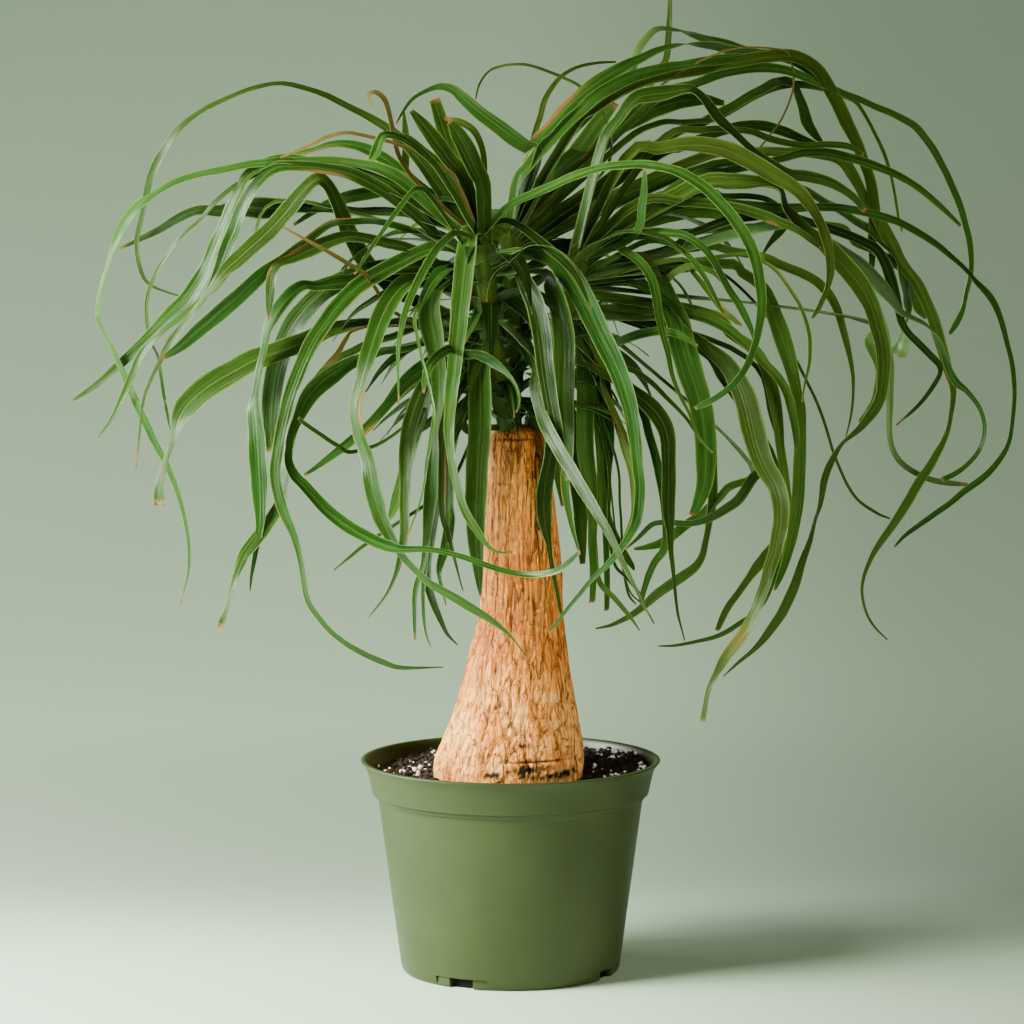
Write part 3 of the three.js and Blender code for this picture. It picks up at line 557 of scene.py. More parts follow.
# The leafy heads. The points that each leafy stem's middle passes through, up from its hole
stems = {
    "front": [(-2.4, -5.6, 289.4), (-2.4, -5.6, 302), (-8, -10, 330), (-13, -14, 368), (-16, -16, 406)],
    "right": [(12, 1, 289.4), (12, 1, 302), (20, 2, 328), (29, 3, 360), (37, 4, 396)],
    "back": [(1.4, 8.6, 289.4), (1.4, 8.6, 302), (-1, 17, 330), (-2, 26, 368), (0, 32, 408)],
}
stemSizes = {
    "rings": 60, "sides": 36, "radius": 4.9, "swell": 2.7, "scaleHeight": 0.5, "scaleTurns": 60, "counterTurns": 44,
}
# Each head keeps to its own room round the hub, walled by three slanting planes
room = {
    "hubX": 6, "hubY": 4, "frontSlope": 0.7, "backSlope": 0.58, "leftSlope": 0.18, "spread": 130, "wallGap": 9.5,
    "trunkTop": 303, "trunkGap": 6, "trunkCentre": 6,
}
leafSizes = {
    "acrossPoints": 7, "underPoints": 5, "ringStep": 3.6, "fewestRings": 14, "mostRings": 120, "sharpAngle": 50,
    "thickness": 0.7, "edge": 0.32, "tipWidth": 0.9, "channel": 0.15, "ruffle": 0.4, "ruffleLength": 23,
    "ragged": 0.84, "swing": 16, "swingLength": 150, "tipTwist": 40,
    "veins": (5.5, 0.16, 1.0), "bands": (2.2, 0.1, 1.0), "patches": (1.2, 0.3, 1.0), "streaks": (11.0, 0.07, 1.7),
    "deep": "#0f2008", "green": "#1a380d", "fresh": "#2f501c", "lime": "#5a7a34", "under": "#56704a",
    "midrib": "#6d8c48", "margin": "#86a65a", "olive": "#474c1c", "straw": "#6e4e30", "dry": "#563626",
    "glint": "#dcf2dc",
}
# The leaves that no one picks out stand round the stem by the golden angle and bend over with their weight.
# "from" and "to" are the headings they keep between, "low" and "high" the heights of their roots.
# Each head's tone darkens or lightens all its leaves; the front head's darkening is painted shade, for leaves that
# face the lamps
fillRules = {
    "front": {
        "toneAndPaintedLight": -0.12, "age": 0.04, "count": 22, "wisps": 4, "from": 150, "to": 318, "flat": 0.3, "low": 302,
        "high": 392, "shortest": 62, "seed": 77},
    "right": {
        "toneAndPaintedLight": 0.02, "age": 0.09, "count": 13, "wisps": 1, "from": -50, "to": 50, "flat": 0.5, "low": 304,
        "high": 394, "shortest": 60, "seed": 23},
    "back": {
        "toneAndPaintedLight": 0.0, "age": 0.09, "count": 26, "wisps": 2, "from": 10, "to": 186, "flat": 1.0, "low": 304,
        "high": 392, "shortest": 70, "seed": 47},
}
# The inner leaves are painted darker than the long ones, as painted shade inside the crown
fillSizes = {
    "goldenTurn": 0.618034, "firstTurn": 0.3, "steps": 6, "lengthRange": 75, "lowest": 142, "sheath": 0.9,
    "shade": -0.12, "tipDry": 0.3, "rim": 0.82,
}

# Each leaf: height of its root on the stem, place in its head's room (0 at the near wall, 1 at the far one), its
# route as x, z and width, all as seen from the front, and notes: "cut" for a blunt tip, "dry" for its colour,
# "shade" for painted shade that darkens it, "tan" for patches as first and last route point and side
frontLeaves = [
    (402, 0.9, [-25, 412, 7.5, -33, 424, 7.8, -42, 437, 7.2, -50, 448, 6.5, -60, 459, 5.5, -70, 466.5, 4.6,
        -82, 473, 3.6, -105, 484, 2.8, -127, 488.5, 2.2, -148, 483, 2.3, -168, 473.5, 2.6, -180, 464, 3.4,
        -190, 450, 4.2, -196.5, 435, 4.4, -199.5, 420, 3, -203.5, 404, 2.6, -201.5, 387, 2.4, -195, 378.5, 1.6,
        -178, 372.3, 0.7]),
    (400, 0.78, [-33, 413, 7, -42, 422, 8.5, -52, 431, 8, -62, 438.5, 7, -72, 443, 5.6, -84, 445.5, 4.4,
        -100, 447, 3.6, -118, 446.5, 4, -140, 445, 4, -163, 440.5, 3.2, -178, 437, 3, -190, 431, 2.8, -196, 427, 3.5,
        -204, 421, 5.2, -211, 412, 5.4, -215, 403, 4, -218, 394, 2.4, -224.5, 372, 2.4, -225, 361, 2.2, -219, 348, 2,
        -214, 337, 3, -208, 323, 4.4, -201, 307, 4.4, -194, 292, 3.8, -187, 278, 3, -182, 264, 2.6, -178, 248, 2,
        -176.3, 226, 1.4, -181, 204, 0.6]),
    (404, 0.95, [-40, 412, 4, -60, 418, 4, -75, 418.5, 4, -90, 419.5, 3.6, -104, 420.5, 3.8, -115, 421.5, 6,
        -125, 421, 9.5, -136, 421, 12, -147, 421.5, 10, -158, 419.5, 6.4, -170, 420, 5, -180, 416, 5, -190, 410, 4,
        -198, 406, 3.5, -213, 399, 1.6]),
    (352, 0.6, [-58, 372, 6, -70, 382, 8, -80, 393, 9, -86, 404, 9, -91, 415, 8, -95, 425, 7, -99, 433, 5.5,
        -105, 436.5, 6.5, -113, 430, 8, -121, 420, 9, -131, 409, 9.4, -141, 400, 9.2, -150, 392, 8.5,
        -157, 385.5, 5.5, -164, 376, 3.2, -173, 364, 3, -181, 354, 3.8, -188, 344, 4.2, -192, 336, 2.4,
        -197.5, 325, 2, -201, 314, 1.5, -205, 279, 0.8]),
    (396, 0.7, [-36, 402, 4.6, -47, 412.5, 6, -57, 421.5, 6.4, -67, 429, 6.8, -77, 435, 7, -87, 439.5, 6.6,
        -98, 442, 5.6, -112, 443.5, 5, -127, 443, 6, -138, 434, 5.5, -146, 421, 6.5, -151, 408, 7.5, -156, 396, 7,
        -160, 386, 4.6, -165, 376, 2.4, -176, 362, 1.8, -188, 348, 1.4], {"tan": [(5, 7, 1)]}),
    (400, 0.8, [-60, 428, 5, -90, 441, 5, -125, 447, 5, -142, 439, 5, -149, 427, 5.5, -154, 415, 6.5, -161, 399, 7.2,
        -167, 386, 7.5, -175, 373.5, 8.6, -184, 364, 8.6, -192, 356, 7.6, -201, 347, 6, -212, 337, 5, -222, 328, 4,
        -232, 320.5, 2.8, -240, 315.5, 1.4]),
    (402, 0.85, [-60, 432, 3, -90, 443, 3, -118, 444, 3, -135, 441, 3, -150, 433, 2.8, -160, 425, 2.4, -169, 415, 1.6,
        -180, 405, 1.7, -188, 394, 2, -194, 384, 2.2, -198, 372, 2, -198.5, 360, 2, -197, 350, 1.5, -192.5, 340, 1.3,
        -191, 330, 2, -189, 316, 1.9, -186.5, 303, 1.6, -184.5, 295, 0.9]),
    (396, 0.5, [-45, 406, 4, -60, 412, 4, -75, 414.5, 4, -88, 414.5, 4, -98, 412.5, 4, -106, 408, 4.5, -113, 402, 4.6,
        -121, 396, 5, -130, 389.5, 6.6, -140, 381, 8, -150, 371.5, 8.8, -160, 363, 8.6, -170, 354.5, 7.6,
        -179, 346.5, 6, -186, 341.5, 3.6, -191, 339, 1.6], {"tan": [(2, 6, 1)]}),
    (344, 0.55, [-50, 356, 3, -65, 357, 3.4, -78, 357, 4, -90, 356.3, 5.5, -100, 353.5, 8, -110, 349, 9.6,
        -120, 345, 10.2, -130, 341.5, 10.4, -140, 338, 11, -150, 332.5, 12, -160, 327, 13, -170, 320, 13,
        -177.5, 312.5, 12, -181.5, 305, 8.5, -184, 297, 3.5, -186.5, 288, 2.6, -189.5, 279, 3.5, -192, 270, 5,
        -192.5, 259, 6.6], {"cut": True}),
    (394, 0.3, [-36, 399, 4.5, -48, 397, 6.6, -60, 391.5, 7.8, -70, 386.5, 8.8, -80, 380.5, 8.8, -88, 374, 8.8,
        -95, 366.5, 8.6, -101, 358.5, 8.4, -107, 350, 8.4, -112, 340, 8.2, -117, 328, 7.8, -121.5, 315, 7.2,
        -125, 301, 6.6, -127.5, 287, 6.4, -128.5, 275, 6.6, -126.5, 262, 6.6, -123, 252, 5.4, -119, 242, 4,
        -115.5, 230, 3.2, -113.5, 216, 3, -111, 205, 3, -106, 197, 3.2, -99, 189, 3, -90, 181.5, 3, -80, 176, 3.4,
        -70, 171.5, 3.4, -60, 168.5, 2.6, -37, 168.7, 0.6]),
    (372, 0.45, [-62, 382, 5, -75, 384, 6, -86, 381, 8.5, -96, 379.5, 7.6, -106, 378, 4.4, -113, 378.5, 4.4,
        -120, 373, 7.5, -127, 365, 7.4, -131.5, 355, 5, -134, 345, 3.8, -136.5, 333, 3.4, -139, 320, 3.4,
        -139.7, 311, 7, -138.7, 298, 9.6, -138, 284, 10.2, -137.3, 270, 9.8, -137, 257, 7, -137.5, 246, 4.4,
        -139.5, 234, 3, -142, 220, 1.8, -143, 211, 0.8]),
    (370, 0.5, [-50, 396, 5, -70, 402, 5, -86, 405.5, 5, -99, 402.5, 7, -110, 398, 8, -119, 394, 6.4,
        -126.5, 391, 4.6, -130, 384, 5.4, -131, 375, 5.4, -131.7, 367, 3.4, -131.5, 360, 1.2], {"tan": [(4, 7, -1)]}),
    (370, 0.4, [-60, 352, 3, -82, 345, 3.6, -104, 330, 4, -118, 300, 4, -124, 272, 5, -127, 258, 6, -133, 248, 7,
        -140, 239, 7, -146, 231, 6.6, -150, 222, 4.2, -153, 212, 2.6, -156, 202, 2.8,
        -159.5, 191.5, 3.6], {"cut": True}),
    (380, 0.25, [-43, 384, 4, -51, 382.5, 6, -58, 379, 9, -64.5, 372, 10.4, -69.5, 363, 10.8, -73, 354, 10.2,
        -76, 345, 9.2, -79, 335, 8.2, -82, 324, 7, -84.5, 312, 6.6, -83.5, 301, 6.6, -80.5, 292, 6.2, -78, 283, 8,
        -76, 273, 9.2, -74, 262, 9.6, -71, 252, 8.6, -67, 243, 6.6, -63, 236, 4.6, -57, 228, 3.4, -47, 217.5, 3.8,
        -36, 210.5, 4.8, -26, 204.5, 5, -16, 198.5, 4.4, -8, 193, 3.2, -2, 188, 1.8, 3, 182.5, 1,
        10, 173, 0.8], {"tan": [(8, 10, 1)]}),
    (345, 0.5, [-30, 340, 5, -44, 336, 7.4, -52, 330, 9.2, -60, 323, 7.2, -67, 314, 5.2, -74, 306, 5, -82, 298, 5.4,
        -90, 291.5, 5, -98, 285.5, 4, -106, 279.5, 2.6, -113, 275, 1.4], {"tan": [(5, 6, 1)]}),
    (362, 0.15, [-45, 350, 4, -60, 346, 4.2, -72, 343.5, 4.6, -85, 338.5, 6.6, -96, 331.5, 9.6, -105, 324.5, 10.4,
        -112, 316, 9, -117, 305, 5.6, -121, 294, 3.6, -122, 284, 4, -118.5, 275, 5, -113, 269, 5.4, -107, 262.5, 5.6,
        -101, 256, 6.2, -95, 251, 6.8, -88, 246, 6.8, -80, 241.5, 6.4, -73, 238, 6.2, -66, 235.5, 6, -59, 234, 4,
        -45, 234, 2.6, -30, 231, 2.6, -18, 227, 2.8, -8, 223.5, 2.8, 2, 221, 2.8, 10, 220, 2.8, 18, 220.5, 2.8,
        26, 222.5, 3, 33, 228, 2.6, 38, 233, 1.4]),
    (352, 0.5, [-40, 338, 4, -45, 328, 6, -51, 315, 8, -55, 302, 8.2, -57, 290, 7.6, -57.5, 278, 6.8, -58, 266, 5.8,
        -58, 252, 5.2, -58.5, 240, 4.8, -60.5, 229, 3.6, -63.5, 219, 2.2, -68, 209, 1.8, -78, 196.5, 0.7]),
    (350, 0.62, [-40, 330, 4, -48, 306, 5, -54, 290, 5, -58.5, 274, 7, -61.5, 263, 7, -64.5, 255, 4.6,
        -67.5, 249, 1]),
    (404, 0.35, [-21.5, 407.5, 7, -23.5, 398, 11, -25.3, 385, 11, -26.8, 371, 10.4, -28.3, 357, 9.4, -29.8, 342, 8.4,
        -31.5, 326, 7.2, -33, 312, 6.2, -33.5, 300, 5.6, -33, 290, 4.8, -31.5, 280, 4.2, -29, 268, 4.2, -26, 258, 4.6,
        -22, 250, 4.8, -18, 244, 4, -14, 238, 2.6, -10, 234, 1.7, -5, 232.3, 1.2, 1, 232.5, 0.8]),
    (403, 0.2, [-28, 407.5, 2.2, -34, 405, 3.6, -40, 399, 4.4, -46, 389.5, 4.4, -51, 380, 4.2, -55.5, 370, 3.8,
        -58.5, 360, 3.2, -60.5, 350, 2.4, -61.5, 338, 1.8, -61, 314, 0.6]),
    (392, 0.6, [-33, 384, 5, -40, 378, 9, -43.5, 369, 12, -43.5, 359, 13, -41.5, 350, 11.6, -40, 340, 9.2,
        -39, 325, 8, -39.5, 311, 5.5, -40.7, 300, 3, -42, 290, 6, -43, 278, 7.6, -43.5, 266, 7.8, -44.5, 254, 6.8,
        -46, 242, 4.2, -47, 234, 3, -48, 225, 2.6, -52, 213, 3, -52.8, 200, 2.4, -52.5, 184, 1.4]),
    (366, 0.65, [-30, 332, 4, -35, 312, 4, -37, 298, 4.4, -37.6, 286, 5.2, -37.3, 272, 4.8, -37.5, 260, 4.4,
        -36.5, 250, 3.6, -34, 242, 3, -31.5, 232, 2, -28, 218, 1, -26, 211, 0.5], {"tan": [(3, 5, 1)]}),
    (352, 0.7, [-38, 312, 5, -44, 270, 5, -46, 240, 4, -47, 224, 3, -48, 210, 2.2, -47.8, 198, 1.8, -46.5, 188, 1.4,
        -44, 180, 0.6], {"cut": True}),
    (344, 0.75, [-32, 312, 4, -40, 262, 5, -45, 232, 5, -46, 219, 5, -44, 210, 4.6, -41, 201, 4, -38, 194, 3,
        -34.5, 187, 2, -29, 181, 0.7]),
    (340, 0.6, [-30, 300, 5, -34, 262, 6, -33.5, 250, 6, -35, 238, 6, -38.5, 226, 4, -39, 219, 2.2, -37, 210, 1.6,
        -35.5, 203, 0.6]),
    (402, 0.98, [-40, 425, 4, -55, 437, 5.5, -66, 446, 6.5, -76, 452, 6.2, -86, 455.5, 4.8, -97, 455.7, 3.6,
        -109, 452, 3, -122, 449, 3.2, -135, 442, 2.8, -155, 430, 1.4], {"tan": [(5, 8, 1)]}),
    (404, 0.9, [-20, 412, 6.5, -27, 426, 7, -33, 436, 6, -40, 446, 5, -48, 453, 4, -55, 459, 3, -64, 463, 1.2]),
    (396, 0.85, [6, 399, 5, 14, 398.5, 8, 24, 394, 11, 33, 384, 12.6, 41, 370, 12.6, 48, 355, 11.6, 55, 341, 10.8,
        61, 327, 10, 65.5, 312, 8.6, 68, 297, 7.2, 69.5, 282, 6, 71, 268, 5.5, 69.8, 252, 5.4, 66.3, 243.6, 4.2,
        62, 236.4, 3.6, 58, 231, 3.6, 52, 224.4, 3, 44.8, 217.6, 2.4, 37.7, 209, 2.2, 30.6, 200.2, 1.9,
        25.8, 194, 1.8, 21, 188, 0.7]),
    (407, 0.95, [-11, 411, 2.6, -3, 414, 3, 6, 410.5, 3.8, 14, 404.5, 4.8, 22, 398, 5, 30, 391, 4.6, 37, 382, 3.4,
        44, 366, 1.2]),
    (392, 0.7, [1, 392, 4, 7, 384, 8, 12.5, 372, 10.4, 16, 360, 10.4, 17.7, 348, 10.2, 19, 336, 9.6, 21, 322, 8.8,
        24, 306, 7.6, 27.5, 290, 5.6, 31, 272, 2]),
    (380, 0.9, [12, 360, 7, 19, 335, 8, 22, 310, 8, 22.5, 292, 7, 20, 276, 8, 18.3, 264, 9, 18.4, 253, 8.2,
        19.8, 243, 5, 21, 237, 3, 22, 229, 2.4, 24, 218, 2.4, 26, 208, 2, 28, 197, 1.4]),
    (372, 0.5, [6, 350, 3, 11.5, 342, 2, 13, 334, 3, 13, 325, 4.6, 15, 315, 6.2, 18, 306, 7, 21.5, 298, 7.4,
        26, 290, 7.2, 32, 280, 7, 38, 270, 6.6, 44, 260, 6, 50, 250, 5, 56, 239, 4, 61, 228, 3, 68, 214, 1.8,
        76, 197, 0.7]),
    (390, 0.8, [18, 388, 5, 24, 377, 9, 28, 363, 11, 29.5, 349, 12, 29.5, 335, 12.2, 29.5, 321, 11, 30, 307, 9.6,
        31, 294, 8, 31, 281, 6, 30, 268, 4.6, 33, 250, 3, 38, 231, 1]),
    (374, 0.75, [-13, 354, 8, -16.5, 341, 12, -16.5, 321, 12.8, -16.5, 301, 12.4, -18, 281, 12.2, -18.8, 261, 11.8,
        -19, 243, 9.8, -18.2, 229, 7, -17.2, 217, 4.2, -16.4, 208, 1]),
    (348, 0.6, [-25, 342, 2.4, -20, 341.5, 5, -14, 340, 6.2, -8, 336, 5.2, -2, 331, 2.6, 2, 326, 1.8, 4.5, 319, 1.5,
        4.5, 313, 1.2, 3, 309.5, 0.7]),
    (406, 0.75, [0, 422, 3.4, 12, 428, 4.2, 25, 434, 4.2, 38, 439.5, 4.2, 50, 443, 4, 62, 444.5, 4, 74, 444.5, 4.2,
        86, 442.5, 4.6, 97, 438, 5.2, 107, 431, 5.8, 116, 422, 5.8, 124, 412, 6.2, 130, 402, 6.2, 134, 391, 6,
        136, 380, 5.6, 137, 368, 5, 135.5, 356, 4.2, 133, 345, 3.6, 129, 335, 3.6, 122, 325, 3.4, 113, 318, 3.4,
        106, 314, 3.6, 101, 311.5, 2]),
    (372, 0.3, [-28, 346, 4, -34, 344, 4.6, -40, 340, 5.2, -44.5, 334, 5.2, -46.8, 327, 3.2, -47.5, 320, 0.8]),
    (394, 0.1, [-45, 372, 1.8, -52, 364, 1.8, -51, 352, 1.7, -48, 338, 1.5, -44, 322, 1.5, -41.5, 305, 1.2,
        -45, 285, 1.2, -49, 262, 1, -57, 240, 0.7]),
    (398, 0.72, [-120, 425, 1.2, -142, 400, 1.4, -158, 380, 1.8, -170, 370, 2.2, -182, 360, 2.8, -192, 352, 3.2,
        -201, 342, 3.8, -207, 329, 4.2, -212, 318, 3.2, -218, 306, 2.2, -226, 294.5, 1]),
    (348, 0.35, [-60, 300, 1.4, -85, 288, 2, -95, 291.5, 2.2, -104, 297.5, 2.2, -112, 303, 2.2, -116, 306.5, 1.6]),
    (346, 0.42, [-60, 362, 1.4, -78, 384, 2, -88, 390.5, 2.4, -97, 396, 2.2, -106, 401, 1.8, -115, 406, 1.4,
        -124, 411, 0.8], {"dry": 0.32}),
    (350, 0.4, [-62, 357, 1.4, -84, 355, 1.6, -89.5, 350, 2.2, -94, 342.5, 3, -99, 337, 2.8,
        -103, 334, 1], {"dry": 0.32}),
    (301, 0.9, [-16, 301, 3, -20, 299, 3.6, -24, 300, 4.2, -26.5, 305, 4.6,
        -26.5, 310, 4], {"cut": True, "dry": 0.32}),
    (404, 0.6, [-48, 432, 2, -60, 448, 2.4, -64, 464, 2.4, -67, 477, 2.6, -70, 482, 2.8, -74, 484, 2.4, -77, 482, 2,
        -75, 476.5, 1], {"dry": 0.32}),
    (402, 0.4, [-38, 440, 3, -54, 456, 3.4, -68, 461, 4, -73, 452, 5.6, -76, 447, 3]),
    (384, 0.3, [-38, 420, 2, -50, 432, 2.4, -62, 419, 2.6, -72, 405, 2, -80, 393, 1.7, -85, 385, 0.8]),
    (404, 0.5, [-30, 436, 2, -45, 448, 2, -62, 456, 2, -80, 460.5, 1.6, -90, 462, 1.8, -100, 459.5, 2, -108, 455.5, 2,
        -125, 448.5, 1], {"dry": 0.32}),
    (390, 0.85, [-25, 422, 4, -40, 428, 5, -60, 431, 6, -78, 429, 7, -92, 426, 6.5, -104, 421, 4, -118, 412, 1.6]),
    (396, 0.1, [6, 399, 1.4, 0, 391, 1.6, -5, 388, 1.6, -10, 382, 1.4, -13, 370, 0.8]),
    (330, 0.6, [-30, 275, 1.8, -45, 260, 1.8, -60, 250, 1.6, -80, 236.5, 2, -88, 230, 1.6, -97, 222.5, 0.6]),
    (390, 0.8, [-15, 430, 8, -19, 442, 9.5, -24, 453, 10, -29, 462, 8, -33, 468, 3.5]),
    (388, 0.9, [-24, 434, 7, -33, 447, 8.5, -41, 458, 8.5, -48, 467, 6.5, -54, 474, 2.5]),
    (380, 0.7, [-40, 388, 7, -70, 388, 9, -98, 378, 10, -118, 358, 11, -128, 332, 11.5, -131, 308, 10, -131, 288, 5]),
]
